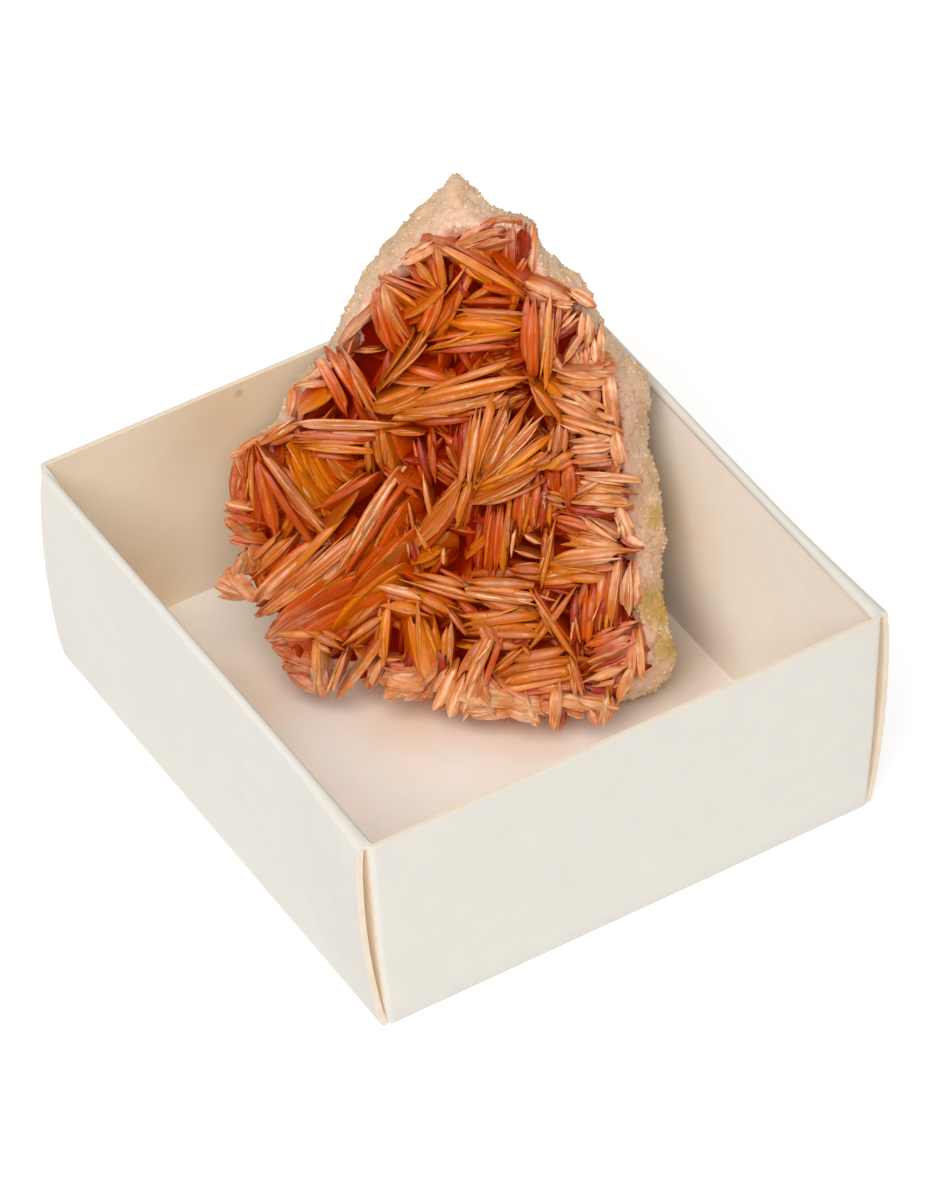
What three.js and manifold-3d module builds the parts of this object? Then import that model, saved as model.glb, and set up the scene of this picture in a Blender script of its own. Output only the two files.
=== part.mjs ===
// Barite specimen: a leaning rock whose front face is a boxwork of thin orange blades,
// resting in a small open tray folded from white card.
// Millimetres, +Z up. The origin is the centre of the tray's underside.

import * as THREE from "three";
import Module from "manifold-3d";

const wasm = await Module();
wasm.setup();

// Tray
const TRAY_WIDTH = 64.8; // along X, at the foot, over the folded walls alone
const TRAY_DEPTH = 70.8; // along Y, at the foot
const TRAY_HEIGHT = 30;
const CARD = 0.6; // thickness of one layer of card
const FOLD_RADIUS = 0.8; // upright folds at the corners, in plan
const LEFT_FLARE = 2.1; // how far the rim of each wall leans out: -X, +X, -Y and +Y
const RIGHT_FLARE = 0.3;
const FRONT_FLARE = 0.3;
const BACK_FLARE = 1.3;
const FOOT_BOW = 1.9; // how far the foot of an X wall bows in at mid length
const PANEL_REACH = 35; // half the length of an outer X panel
const PANEL_SPRING = 1.1; // how far the ends of the outer X panels spring out at mid height
const SPRING_FULLNESS = 0.7; // below 1, the spring reaches nearer to the foot and the rim
const SPRING_STARTS = 0.6; // share of the half length from which they spring
const RIM_SPRING = 0.95; // how far the rim of a panel stands out at its front end
const RIM_SPRING_STARTS = 0.4;
const PANEL_SINK = 0.15; // how deep the outer panels are fused into the folded walls
const WALL_STEPS = 6; // facets along one wall
const HEIGHT_STEPS = 4; // facets up one wall
const FOLD_STEPS = 3; // facets round one upright fold

// How the specimen stands: across is U, up the leaning face is V, out of the face is W
const FACE_FOOT = new THREE.Vector3(-2.6, -2.0, 3.5); // middle of the face's lower edge
const FACE_HEADING = THREE.MathUtils.degToRad(41);
const FACE_LEAN = THREE.MathUtils.degToRad(32);
const ACROSS = new THREE.Vector3(Math.cos(FACE_HEADING), -Math.sin(FACE_HEADING), 0);
const LEVEL_BACK = new THREE.Vector3(Math.sin(FACE_HEADING), Math.cos(FACE_HEADING), 0);
const UP_FACE = LEVEL_BACK.clone()
  .multiplyScalar(Math.sin(FACE_LEAN))
  .add(new THREE.Vector3(0, 0, Math.cos(FACE_LEAN)));
const OUT_OF_FACE = new THREE.Vector3().crossVectors(ACROSS, UP_FACE);

// Positions on the face are given as they show from the front, a few degrees above and
// beside its normal, so a deeper point shifts by this much of its depth.
const SHIFT_ACROSS = 0.111;
const SHIFT_UP = 0.223;

// Room kept between pieces that touch
const GAP = 0.3;
const REST_HEIGHT = CARD + GAP; // lowest point of the specimen
const BACK_REACH_X = TRAY_WIDTH / 2 - CARD - GAP; // how near the specimen comes to the walls
const BACK_REACH_Y = TRAY_DEPTH / 2 - CARD - GAP;

// Rock body
const HEART = [-1, 28]; // middle of the face, seen from every point of the outline
const RIM_DEPTH = -8; // W of the outline
const LIP_DEPTH = -2.8; // W of the inner edge of the bare band
const LOW_LIP_DEPTH = -5.5; // the same where the blades overhang the rock
const LOW_LIP_INSET = 1.5;
const LUMP = 0.45; // size of the lumps on the rock
const ROCK_SEED = 2207;
const FACE_LEFT = -27; // U of the rock's left side
const FACE_WIDTH = 50;
const FRONT_RINGS = [ // share of the way from the heart to the lip, W, thickness of the crust there
  [0.3, -8.8, 3.4],
  [0.6, -8.4, 3.2],
  [0.85, -7.0, 2.6],
];
const BACK_RINGS = [ // share of the way from the heart to the outline, W on the right side, on the left
  [1.0, -11.5, -9.5],
  [0.86, -16, -13.5],
  [0.55, -19.5, -18.5],
];
const BACK_DEPTH = -21;

// Barite crust that carries the blades
const CRUST_GAP = 0.5; // along W, so that sloping parts keep GAP
const CRUST_EDGE = 1.4; // thickness of the crust at its edge
const CRUST_TUCK = 0.6; // how far the edge of the crust lies below the lip
const CRUST_SHARE = 0.95; // share of the way from the heart to the lip
const CRUST_OVERHANG = 1.6; // beyond the rock where the blades overhang it

// Outline of the rock from the foot of the face, clockwise as seen from the front:
// U, V, width of the bare band between the outline and the first blades
const ROCK_OUTLINE = [
  [2, 4.2, 0], [-4, 4.6, 0], [-10, 5.2, 0], [-15, 5.0, 0], [-18.5, 6.2, 0], [-21, 9.5, 0],
  [-23, 13, 0], [-24.8, 17, 0], [-26.3, 21, 0], [-26.6, 25, 0], [-27, 28.4, 0], [-26, 31.3, 1.6],
  [-23.8, 33, 1.8], [-22.3, 36.4, 1.2], [-20.6, 39.2, 1.6], [-18.2, 42.6, 1.8], [-17.2, 45.4, 2.0],
  [-16, 48.4, 2.2], [-14.8, 51.6, 2.6], [-13.2, 55, 3.4], [-10.8, 58, 4.2], [-8.5, 60.6, 4.6],
  [-6.6, 62.5, 5.0], [-5.6, 64.3, 6.2], [-4.6, 64.2, 6.0], [-3, 63.2, 4.6], [-1.2, 61.3, 2.6],
  [1, 60.7, 1.6], [4.2, 59.9, 1.8], [5.2, 57.2, 1.8], [6.8, 56.1, 3.0], [8.4, 55, 3.6],
  [10.6, 53.8, 3.2], [12, 51, 2.2], [13.4, 48.4, 2.0], [15.8, 46, 3.2], [18.4, 43.8, 4.2],
  [19.3, 41.6, 4.0], [19.2, 38, 3.0], [19.3, 35, 2.6], [20.4, 32.8, 3.2], [21.3, 30.2, 3.6],
  [22, 27, 4.0], [22.7, 24, 4.2], [22.3, 20.8, 3.0], [22.8, 17.6, 3.4], [23.6, 14.4, 4.2],
  [24.7, 10.8, 4.2], [24.2, 8, 3.4], [22.4, 6.2, 2.4], [20, 4.8, 1.6], [17, 4.2, 0],
  [12, 4.0, 0], [7, 4.0, 0],
];

// Sheaves of blades: the front edge from U0, V0 to U1, V1, then the thickness of the sheaf,
// its breadth into the rock, how far its edge stands out of the face, and its lean in degrees
// (0 is edge on; above 0 the sheaf falls away to the left of the direction of its edge).
const SHEAVES = [
  // top
  [1.7, 58.9, 1.9, 52.4, 1.3, 4, -0.1, 0], [4.2, 59.2, 4.4, 53.8, 1.2, 4, -0.8, 10],
  [-5.3, 55.4, 3.9, 51.2, 0.9, 5, 0.3, -25], [-3.6, 54.8, -0.2, 52.6, 1.3, 4, -0.2, -30],
  [3.4, 52.4, 8.9, 50.6, 1.2, 4, -0.4, 20],
  // upper middle
  [-4.4, 46.9, 4.3, 47.7, 2.6, 5, 0.1, 0], [-7.4, 43.5, 2.6, 46.2, 0.9, 5, 0.7, -20],
  [4.8, 50.7, 5.6, 40.6, 1.3, 6, 0.8, 0], [6.8, 50.9, 7.2, 40.7, 0.7, 6, 0.6, 0],
  [-9.0, 36.6, 4.2, 41.0, 1.5, 6, 0.9, -10], [-9.8, 34.9, 0.4, 37.9, 1.0, 6, 0.6, 0],
  [-7.2, 35.5, 2.0, 38.6, 0.9, 5, 0.1, -20], [-12.4, 35.2, -6.2, 37.6, 1.2, 5, 0.2, 20],
  [5.2, 40.6, 8.4, 36.8, 1.7, 5, 0.5, 15],
  // upper left
  [-17.8, 42.2, -13.4, 36.0, 1.2, 5, 0, -40], [-18.8, 40.8, -15.3, 35.3, 1.2, 5, -0.2, -40],
  [-22.2, 34.2, -21.9, 37.4, 1.0, 4, -1.6, 20], [-13.9, 48.9, -11.2, 42.3, 1.2, 5, 0.2, 55],
  // left
  [-21.0, 33.3, -10.4, 34.2, 1.1, 5, 0.5, -15], [-11.6, 33.6, -9.8, 28.6, 1.2, 5, 0.3, 20],
  [-24.8, 29.2, -16.9, 20.6, 1.1, 6, 1.0, 0], [-22.4, 25.0, -17.4, 20.8, 1.0, 5, 0.0, 40],
  [-25.2, 28.9, -22.6, 20.2, 1.2, 5, -0.3, -40],
  // lower left
  [-29.5, 12.9, -25.6, 12.2, 1.4, 4, -0.9, 30], [-24.6, 15.4, -20.6, 20.2, 1.3, 5, 0.2, -20],
  [-24.4, 12.2, -17.0, 20.4, 1.3, 6, 0.7, -15], [-23.4, 10.6, -15.0, 18.4, 1.8, 6, 0.6, -10],
  [-21.4, 12.6, -11.4, 22.6, 1.6, 6, 1.1, -10], [-15.4, 16.0, -9.2, 28.8, 1.3, 6, 1.3, -10],
  [-22.6, 9.4, -12.8, 16.8, 1.2, 6, 0.5, -55], [-21.4, 8.8, -10.4, 15.9, 1.0, 6, 0.0, -50],
  [-15.6, 10.6, -8.6, 18.4, 0.8, 5, 0.3, -40], [-13.4, 14.6, -7.6, 22.2, 1.4, 6, 0.4, -45],
  [-11.4, 19.0, -8.4, 25.2, 1.2, 5, 0.0, -40], [-17.2, 8.9, -13.9, 7.7, 1.0, 5, 0.5, -20],
  [-17.0, 8.2, -16.2, 1.6, 1.0, 5, 0.3, 0], [-14.0, 1.1, -8.9, 9.3, 0.8, 5, 0.5, 20],
  // foot
  [-9.0, 13.2, -9.1, 6.4, 1.0, 5, 0.2, 0], [-9.9, 15.4, -5.2, 14.6, 1.0, 5, 0.3, -20],
  [-8.8, 13.5, -4.6, 12.8, 1.3, 5, 0.1, -30], [-5.4, 14.9, -2.1, 13.7, 1.1, 5, 0.3, -30],
  [-5.0, 13.0, -3.1, 4.4, 1.9, 6, 0.6, -15], [-6.7, 16.4, 1.2, 15.0, 1.2, 5, 0.5, -20],
  [0.2, 15.9, 8.6, 15.9, 1.4, 5, 0.3, -20], [0.4, 16.9, 7.4, 17.4, 1.2, 5, -0.1, -20],
  [0.2, 11.8, 9.0, 14.1, 1.0, 6, 0.6, -20], [0.5, 11.4, 8.4, 12.2, 1.5, 6, 0.5, -25],
  [2.4, 12.3, 3.9, 10.2, 1.0, 4, 0.9, 0], [3.6, 11.6, 1.2, 4.6, 1.3, 5, 0.9, 0],
  [2.2, 10.2, 0.2, 6.0, 1.1, 5, 0.6, 0], [2.6, 6.6, 0.8, 0.3, 1.6, 5, 0.5, 0],
  [0.6, 5.2, -0.8, 0.8, 1.4, 5, 0.3, 0], [-0.8, 5.8, -2.4, 1.4, 1.1, 5, 0.2, 0],
  [-8.5, 2.2, -3.4, 4.3, 2.4, 5, 0.6, -10], [-4.9, 2.2, -2.6, 3.4, 1.1, 4, 0.0, 0],
  [-8.6, 5.6, -5.8, 5.4, 1.2, 4, -0.7, -20], [1.3, 1.4, 9.8, 1.3, 1.0, 5, 0.2, 0],
  [6.4, 2.4, 10.6, 2.2, 1.1, 5, 0.3, 0], [11.6, 5.6, 11.5, 0.4, 1.4, 5, 0.4, 0],
  [4.4, 6.4, 13.6, 9.0, 2.2, 5, 0.5, -30], [4.8, 4.6, 14.2, 7.6, 0.9, 5, 0.1, -20],
  [3.2, 5.6, 5.4, 3.4, 1.4, 4, -0.5, -30],
  // centre
  [-1.9, 35.9, -1.8, 29.4, 1.3, 5, 0.1, 30], [-0.2, 28.8, 1.2, 38.2, 1.0, 6, 1.2, 0],
  [0.2, 29.0, 2.9, 37.6, 1.1, 6, 1.4, 0], [0.4, 29.0, 5.0, 37.4, 1.5, 6, 1.3, 0],
  [0.6, 28.9, 6.9, 36.6, 1.2, 6, 1.2, 0], [0.8, 28.4, 8.2, 34.8, 1.1, 6, 0.8, 0],
  [-0.4, 27.4, 7.4, 31.6, 1.2, 6, 0.7, 0], [6.6, 34.6, 7.4, 33.2, 1.0, 4, -0.2, 0],
  [0.6, 25.4, 0.9, 18.4, 1.4, 5, -1.6, 20], [2.3, 26.0, 2.2, 17.8, 1.0, 5, -0.5, 0],
  [5.9, 28.9, 5.4, 23.4, 1.1, 5, 0.1, 10], [5.0, 19.2, 8.6, 19.4, 1.0, 5, 0.0, -30],
  // upper right
  [8.4, 42.3, 14.2, 42.5, 1.4, 5, 0.1, 20], [9.4, 41.2, 13.6, 41.4, 1.0, 5, -0.1, 20],
  [7.5, 39.4, 14.6, 36.9, 1.6, 5, 0.3, -15], [14.2, 42.6, 15.4, 36.9, 1.6, 5, -0.3, 0],
  [9.0, 52.2, 12.0, 50.6, 1.4, 5, -0.8, 20],
  // right
  [8.6, 37.3, 15.9, 36.2, 1.1, 5, 0.3, -15], [10.4, 33.5, 15.3, 34.4, 1.0, 5, 0.3, -10],
  [7.9, 30.9, 10.6, 33.0, 1.0, 5, 0.4, 0], [15.6, 36.0, 16.4, 32.4, 1.6, 5, -0.2, 0],
  [10.3, 31.8, 10.9, 27.2, 1.5, 6, 0.0, 15], [8.2, 31.0, 9.0, 28.2, 1.2, 5, -0.9, 20],
  [12.0, 30.7, 18.6, 30.8, 1.0, 5, 0.2, -10], [12.2, 29.3, 18.0, 29.7, 1.0, 5, 0.1, -20],
  [11.8, 27.9, 17.9, 28.2, 1.2, 5, 0.1, -20], [9.2, 25.8, 15.0, 24.6, 1.0, 5, -0.3, -30],
  [11.8, 23.6, 17.0, 22.9, 1.4, 5, 0.2, -10], [10.0, 20.6, 17.2, 22.2, 1.9, 6, 0.5, -15],
  [8.8, 19.6, 15.4, 20.2, 1.4, 6, 0.4, -15], [8.2, 18.1, 13.6, 18.9, 1.2, 6, 0.1, -20],
  [15.8, 20.6, 15.7, 13.4, 1.3, 5, 0, 0], [18.4, 20.6, 18.5, 15.6, 1.4, 5, -0.1, 0],
  // lower right
  [14.4, 9.2, 19.8, 12.4, 1.3, 6, 0.3, -35], [14.9, 8.2, 19.4, 11.2, 1.0, 5, -0.3, -30],
  [19.2, 11.8, 19.6, 8.0, 1.4, 5, -0.1, 20], [15.0, 6.8, 19.0, 8.8, 1.0, 5, 0.5, 0],
  [19.9, 8.8, 18.4, 4.5, 1.2, 5, 0.3, 0], [15.0, 5.9, 17.9, 5.3, 1.0, 4, -0.8, 0],
  [14.4, 4.1, 18.4, 3.7, 1.0, 5, 0.3, 0], [17.3, 5.2, 17.2, 1.6, 1.0, 5, 0.3, 0],
  [15.4, 3.2, 16.4, 1.6, 1.0, 4, 0.1, 0],
];

// Outline of one blade in its own plane: share along its edge, share of its breadth,
// share of its thickness
const BLADE_OUTLINE = [
  [0.14, 0, 0.7],
  [0.86, 0, 0.7],
  [1, 1, 1],
  [0, 1, 1],
];

const BLADE_SEED = 911;
const TILT_SPREAD = 8; // degrees by which the leans vary

// Repeatable random numbers between 0 and 1
function randomFrom(seed) {
  let state = seed;
  return () => {
    state = (state * 48271) % 2147483647;
    return state / 2147483647;
  };
}

// A closed solid from its corners and triangles.
function solidFrom(corners, triangles) {
  const mesh = new wasm.Mesh({
    numProp: 3,
    vertProperties: new Float32Array(corners.flatMap((c) => c.toArray())),
    triVerts: new Uint32Array(triangles.flat()),
  });
  return new wasm.Manifold(mesh);
}

// The two triangles of the four-sided face a, b, c, d.
function quad(a, b, c, d) {
  return [
    [a, b, c],
    [a, c, d],
  ];
}

// A solid from closed rings of equally many corners and a single corner at each end.
function solidOfRings(firstTip, rings, lastTip) {
  const count = rings[0].length;
  const corners = [firstTip, ...rings.flat(), lastTip];
  const last = corners.length - 1;
  const triangles = [];
  for (let k = 0; k < count; k++) {
    const next = (k + 1) % count;
    triangles.push([0, 1 + next, 1 + k]);
    for (let r = 0; r + 1 < rings.length; r++) {
      const here = 1 + r * count;
      triangles.push(...quad(here + k, here + next, here + count + next, here + count + k));
    }
    const end = 1 + (rings.length - 1) * count;
    triangles.push([end + k, end + next, last]);
  }
  return solidFrom(corners, triangles);
}

// A point on the face, in millimetres across, up and out of it, as seen from the front.
function onFace(across, up, out) {
  return FACE_FOOT.clone()
    .addScaledVector(ACROSS, across + SHIFT_ACROSS * out)
    .addScaledVector(UP_FACE, up + SHIFT_UP * out)
    .addScaledVector(OUT_OF_FACE, out);
}

// How far out of the upright a wall stands at a share of the height.
function leanOut(side, positive, negative, share) {
  return (side > 0 ? positive : negative) * share;
}

// The rounded fold at one corner of the walls, at one height.
function cornerFold(sideX, sideY, turn, share, inset) {
  const radius = Math.max(FOLD_RADIUS - inset, CARD / 2);
  const reachX = TRAY_WIDTH / 2 + leanOut(sideX, RIGHT_FLARE, LEFT_FLARE, share) - inset - radius;
  const reachY = TRAY_DEPTH / 2 + leanOut(sideY, BACK_FLARE, FRONT_FLARE, share) - inset - radius;
  const fold = [];
  for (let k = 0; k <= FOLD_STEPS; k++) {
    const angle = (turn - 1 + k / FOLD_STEPS) * (Math.PI / 2);
    fold.push([
      sideX * reachX + radius * Math.cos(angle),
      sideY * reachY + radius * Math.sin(angle),
    ]);
  }
  return fold;
}

// Plan of the folded walls at one height: straight runs with a rounded fold between them.
// The X walls come after the even corners, and their feet bow in.
function wallPlan(height, inset) {
  const share = height / TRAY_HEIGHT;
  const corners = [[1, -1], [1, 1], [-1, 1], [-1, -1]];
  const folds = corners.map(([sideX, sideY], turn) => cornerFold(sideX, sideY, turn, share, inset));
  const plan = [];
  folds.forEach((fold, turn) => {
    plan.push(...fold);
    const [fromX, fromY] = fold[FOLD_STEPS];
    const [toX, toY] = folds[(turn + 1) % folds.length][0];
    const bow = turn % 2 === 0 ? FOOT_BOW * (1 - share) * Math.sign(fromX) : 0;
    for (let k = 1; k < WALL_STEPS; k++) {
      const t = k / WALL_STEPS;
      plan.push([
        fromX + (toX - fromX) * t - bow * Math.sin(Math.PI * t),
        fromY + (toY - fromY) * t,
      ]);
    }
  });
  return plan;
}

// Floor and the four walls that the card folds into, open at the top.
function foldedWalls() {
  const ring = (height, inset) =>
    wallPlan(height, inset).map(([x, y]) => new THREE.Vector3(x, y, height));
  const rings = [];
  for (let k = 0; k <= HEIGHT_STEPS; k++) {
    rings.push(ring((TRAY_HEIGHT * k) / HEIGHT_STEPS, 0));
  }
  for (let k = HEIGHT_STEPS; k >= 0; k--) {
    rings.push(ring(Math.max((TRAY_HEIGHT * k) / HEIGHT_STEPS, CARD), CARD));
  }
  return solidOfRings(new THREE.Vector3(0, 0, 0), rings, new THREE.Vector3(0, 0, CARD)).asOriginal();
}

// One corner of an outer panel: s runs from -1 to 1 along it, share up it. The panel is
// filled up to the folded wall behind it, so that the two are one body.
function panelCorner(side, s, share, outside) {
  const nearEnd = Math.max(0, (Math.abs(s) - SPRING_STARTS) / (1 - SPRING_STARTS));
  const nearFront = Math.max(0, (-s - RIM_SPRING_STARTS) / (1 - RIM_SPRING_STARTS));
  const bulge = PANEL_SPRING * Math.max(0, Math.sin(Math.PI * share)) ** SPRING_FULLNESS * nearEnd;
  const spring = bulge + RIM_SPRING * share * nearFront ** 1.5;
  const fill = PANEL_SINK + FOOT_BOW * (1 - share) * Math.cos((Math.PI * s) / 2);
  const straight = TRAY_WIDTH / 2 + leanOut(side, RIGHT_FLARE, LEFT_FLARE, share);
  const x = straight + spring + (outside ? CARD : -fill);
  return new THREE.Vector3(side * x, s * PANEL_REACH, share * TRAY_HEIGHT);
}

// The outer panel on one X wall, whose two ends spring clear of the folded corners.
function outerPanel(side) {
  const steps = WALL_STEPS + 2;
  const corners = [];
  for (let i = 0; i <= steps; i++) {
    for (let j = 0; j <= HEIGHT_STEPS; j++) {
      const s = (2 * i) / steps - 1;
      const share = j / HEIGHT_STEPS;
      corners.push(panelCorner(side, s, share, false), panelCorner(side, s, share, true));
    }
  }
  const at = (i, j, outside) => (i * (HEIGHT_STEPS + 1) + j) * 2 + outside;
  const top = HEIGHT_STEPS;
  const triangles = [];
  for (let i = 0; i < steps; i++) {
    for (let j = 0; j < top; j++) {
      triangles.push(...quad(at(i, j, 1), at(i + 1, j, 1), at(i + 1, j + 1, 1), at(i, j + 1, 1)));
      triangles.push(...quad(at(i, j, 0), at(i, j + 1, 0), at(i + 1, j + 1, 0), at(i + 1, j, 0)));
    }
    triangles.push(...quad(at(i, 0, 0), at(i + 1, 0, 0), at(i + 1, 0, 1), at(i, 0, 1)));
    triangles.push(...quad(at(i, top, 1), at(i + 1, top, 1), at(i + 1, top, 0), at(i, top, 0)));
  }
  for (let j = 0; j < top; j++) {
    triangles.push(...quad(at(0, j, 0), at(0, j, 1), at(0, j + 1, 1), at(0, j + 1, 0)));
    triangles.push(
      ...quad(at(steps, j, 1), at(steps, j, 0), at(steps, j + 1, 0), at(steps, j + 1, 1)),
    );
  }
  if (side < 0) {
    triangles.forEach((triangle) => triangle.reverse());
  }
  return solidFrom(corners, triangles);
}

// One ring of the rock: each outline point drawn towards the heart.
function rockRing(pointOf) {
  return ROCK_OUTLINE.map(([u, v, band], k) => {
    const reach = Math.hypot(u - HEART[0], v - HEART[1]);
    const { share, out, inset = 0 } = pointOf(band, u, k);
    const at = share * (1 - inset / reach);
    return onFace(HEART[0] + (u - HEART[0]) * at, HEART[1] + (v - HEART[1]) * at, out);
  });
}

function lipInset(band) {
  return band > 0 ? band : LOW_LIP_INSET;
}

function lipDepth(band) {
  return band > 0 ? LIP_DEPTH : LOW_LIP_DEPTH;
}

// Keeps a point of the rock's back off the tray's floor and walls.
function insideTray(point) {
  point.x = Math.min(point.x, BACK_REACH_X);
  point.y = Math.min(point.y, BACK_REACH_Y);
  point.z = Math.max(point.z, REST_HEIGHT);
  return point;
}

// The pale rock: a lumpy slab with a hollow front, where the crust sits, and a domed back.
function rockBody(raise, lumps) {
  const random = randomFrom(ROCK_SEED);
  const lump = () => (random() - 0.5) * 2 * LUMP * lumps;
  const front = FRONT_RINGS.map(([share, out]) =>
    rockRing((band) => ({ share, out: out + raise + lump(), inset: lipInset(band) })),
  );
  const lip = rockRing((band) => ({
    share: 1,
    out: lipDepth(band) + raise + 0.5 * lump(),
    inset: lipInset(band),
  }));
  const rim = rockRing(() => ({ share: 1, out: RIM_DEPTH + raise }));
  const back = BACK_RINGS.map(([share, right, left]) =>
    rockRing((band, u) => {
      const side = THREE.MathUtils.clamp((u - FACE_LEFT) / FACE_WIDTH, 0, 1);
      return { share, out: left + (right - left) * side + lump() };
    }),
  );
  const heartFront = onFace(HEART[0], HEART[1], FRONT_RINGS[0][1] + raise);
  const heartBack = onFace(HEART[0], HEART[1], BACK_DEPTH);
  const rings = [...front, lip, rim, ...back].map((ring) => ring.map(insideTray));
  return solidOfRings(heartFront, rings, heartBack);
}

// The crust of barite over the hollow front of the rock.
function crust() {
  const ringAt = (share, out, thickness) =>
    rockRing((band) => ({
      share,
      out: out + CRUST_GAP + thickness,
      inset: band > 0 ? lipInset(band) : LOW_LIP_INSET - CRUST_OVERHANG * share,
    }));
  const edge = (thickness) =>
    rockRing((band) => ({
      share: CRUST_SHARE,
      out: lipDepth(band) - CRUST_TUCK + CRUST_GAP + thickness,
      inset: band > 0 ? lipInset(band) : LOW_LIP_INSET - CRUST_OVERHANG,
    }));
  const outer = FRONT_RINGS.map(([share, out, thickness]) => ringAt(share, out, thickness));
  const inner = FRONT_RINGS.map(([share, out]) => ringAt(share, out, 0)).reverse();
  const depth = FRONT_RINGS[0][1] + CRUST_GAP;
  return solidOfRings(
    onFace(HEART[0], HEART[1], depth + FRONT_RINGS[0][2]),
    [...outer, edge(CRUST_EDGE), edge(0), ...inner],
    onFace(HEART[0], HEART[1], depth),
  );
}

// One sheaf as a single pointed plate.
function sheaf([u0, v0, u1, v1, thick, breadth, lift, leanDegrees], tilt) {
  const start = onFace(u0, v0, lift);
  const end = onFace(u1, v1, lift);
  const along = end.clone().sub(start);
  const length = along.length();
  along.normalize();
  const left = new THREE.Vector3().crossVectors(OUT_OF_FACE, along).normalize();
  const lean = THREE.MathUtils.degToRad(leanDegrees + tilt);
  const inward = left.clone()
    .multiplyScalar(Math.sin(lean))
    .addScaledVector(OUT_OF_FACE, -Math.cos(lean));
  const across = new THREE.Vector3().crossVectors(along, inward).normalize();
  const side = (half) =>
    BLADE_OUTLINE.map(([share, depth, fullness]) =>
      start.clone()
        .addScaledVector(along, share * length)
        .addScaledVector(inward, depth * breadth)
        .addScaledVector(across, half * thick * fullness),
    );
  const count = BLADE_OUTLINE.length;
  const triangles = [];
  for (let k = 1; k + 1 < count; k++) {
    triangles.push([0, k, k + 1], [count, count + k + 1, count + k]);
  }
  for (let k = 0; k < count; k++) {
    const next = (k + 1) % count;
    triangles.push(...quad(k, count + k, count + next, next));
  }
  return solidFrom([...side(0.5), ...side(-0.5)], triangles);
}

// All the blades with their crust, grown together as one body and cut clear of the rock.
function bariteBody() {
  const random = randomFrom(BLADE_SEED);
  const sheaves = SHEAVES.map((row) => sheaf(row, (random() - 0.5) * TILT_SPREAD));
  const grown = wasm.Manifold.union([crust(), ...sheaves]);
  const cut = grown
    .subtract(rockBody(CRUST_GAP, 1))
    .trimByPlane([0, 0, 1], REST_HEIGHT);
  return cut.decompose().reduce((best, body) => (body.volume() > best.volume() ? body : best));
}

// A mesh that shows and carries one solid.
function meshFrom(name, solid, color, roughness) {
  const { vertProperties, triVerts, numProp } = solid.getMesh();
  const positions = new Float32Array((vertProperties.length / numProp) * 3);
  for (let k = 0; k < positions.length / 3; k++) {
    positions.set(vertProperties.subarray(k * numProp, k * numProp + 3), k * 3);
  }
  const geometry = new THREE.BufferGeometry();
  geometry.setAttribute("position", new THREE.BufferAttribute(positions, 3));
  geometry.setIndex(new THREE.BufferAttribute(new Uint32Array(triVerts), 1));
  geometry.computeVertexNormals();
  const material = new THREE.MeshStandardMaterial({ color, roughness, metalness: 0, flatShading: true });
  const mesh = new THREE.Mesh(geometry, material);
  mesh.name = name;
  return mesh;
}

const tray = wasm.Manifold.union([foldedWalls(), outerPanel(1), outerPanel(-1)]);

const group = new THREE.Group();
group.name = "barite";
group.add(meshFrom("card_tray", tray, 0xf2ece4, 0.85));
group.add(meshFrom("matrix", rockBody(0, 1), 0xd9c3a8, 0.9));
group.add(meshFrom("barite_blades", bariteBody(), 0xc9602a, 0.4));

export default group;
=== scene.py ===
# %% [markdown]
# # Barite in a card tray
#
# A small rock stands in the corner of a folded card tray. Its front is a boxwork of thin
# orange barite blades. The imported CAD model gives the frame: where the tray, the rock and
# the blades are, and how big. Here each of them is made again with the detail that the eye
# looks for, in the same place.

# %% Setup
import math
import random

import bmesh
import bpy
from mathutils import Matrix, Vector, noise


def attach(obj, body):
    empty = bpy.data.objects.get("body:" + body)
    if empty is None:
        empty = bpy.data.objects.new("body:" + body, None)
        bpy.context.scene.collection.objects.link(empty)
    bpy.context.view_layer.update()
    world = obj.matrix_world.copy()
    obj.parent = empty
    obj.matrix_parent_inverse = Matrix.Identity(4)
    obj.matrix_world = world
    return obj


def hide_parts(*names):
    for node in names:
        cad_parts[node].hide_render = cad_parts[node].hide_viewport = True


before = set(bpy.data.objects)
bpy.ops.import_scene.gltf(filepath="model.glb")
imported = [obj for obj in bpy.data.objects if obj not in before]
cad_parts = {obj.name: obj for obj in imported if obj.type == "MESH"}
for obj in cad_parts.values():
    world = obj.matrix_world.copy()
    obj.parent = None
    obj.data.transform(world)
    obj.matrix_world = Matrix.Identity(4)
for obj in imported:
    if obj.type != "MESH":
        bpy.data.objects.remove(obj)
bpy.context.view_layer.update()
MM = 0.001

# %% [markdown]
# ## Camera
#
# The photograph was taken from above and from the left with a long lens, so the tray's
# parallel edges hardly converge. Distance, focal length and direction were worked out from
# the tray's corners. The back of the camera is given as an azimuth and an elevation, and the
# point it looks at lies a little above the middle of the tray.

# %% Camera
PHOTO_WIDTH, PHOTO_HEIGHT = 928, 1200
FOCAL_PIXELS = 8975
AZIMUTH = math.radians(-32.33)
ELEVATION = math.radians(44.25)
CAMERA_SPOT = Vector((-392.07, -619.33, 734.62)) * MM


def add_camera():
    data = bpy.data.cameras.new("camera")
    data.sensor_width = 36
    data.lens = FOCAL_PIXELS / PHOTO_HEIGHT * data.sensor_width
    data.clip_start = 0.05
    data.clip_end = 20
    camera = bpy.data.objects.new("camera", data)
    bpy.context.scene.collection.objects.link(camera)
    camera.location = CAMERA_SPOT
    camera.rotation_euler = (math.pi / 2 - ELEVATION, 0, AZIMUTH)
    bpy.context.scene.camera = camera
    return camera


camera = add_camera()
print("camera lens in mm:", round(camera.data.lens, 1))

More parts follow.
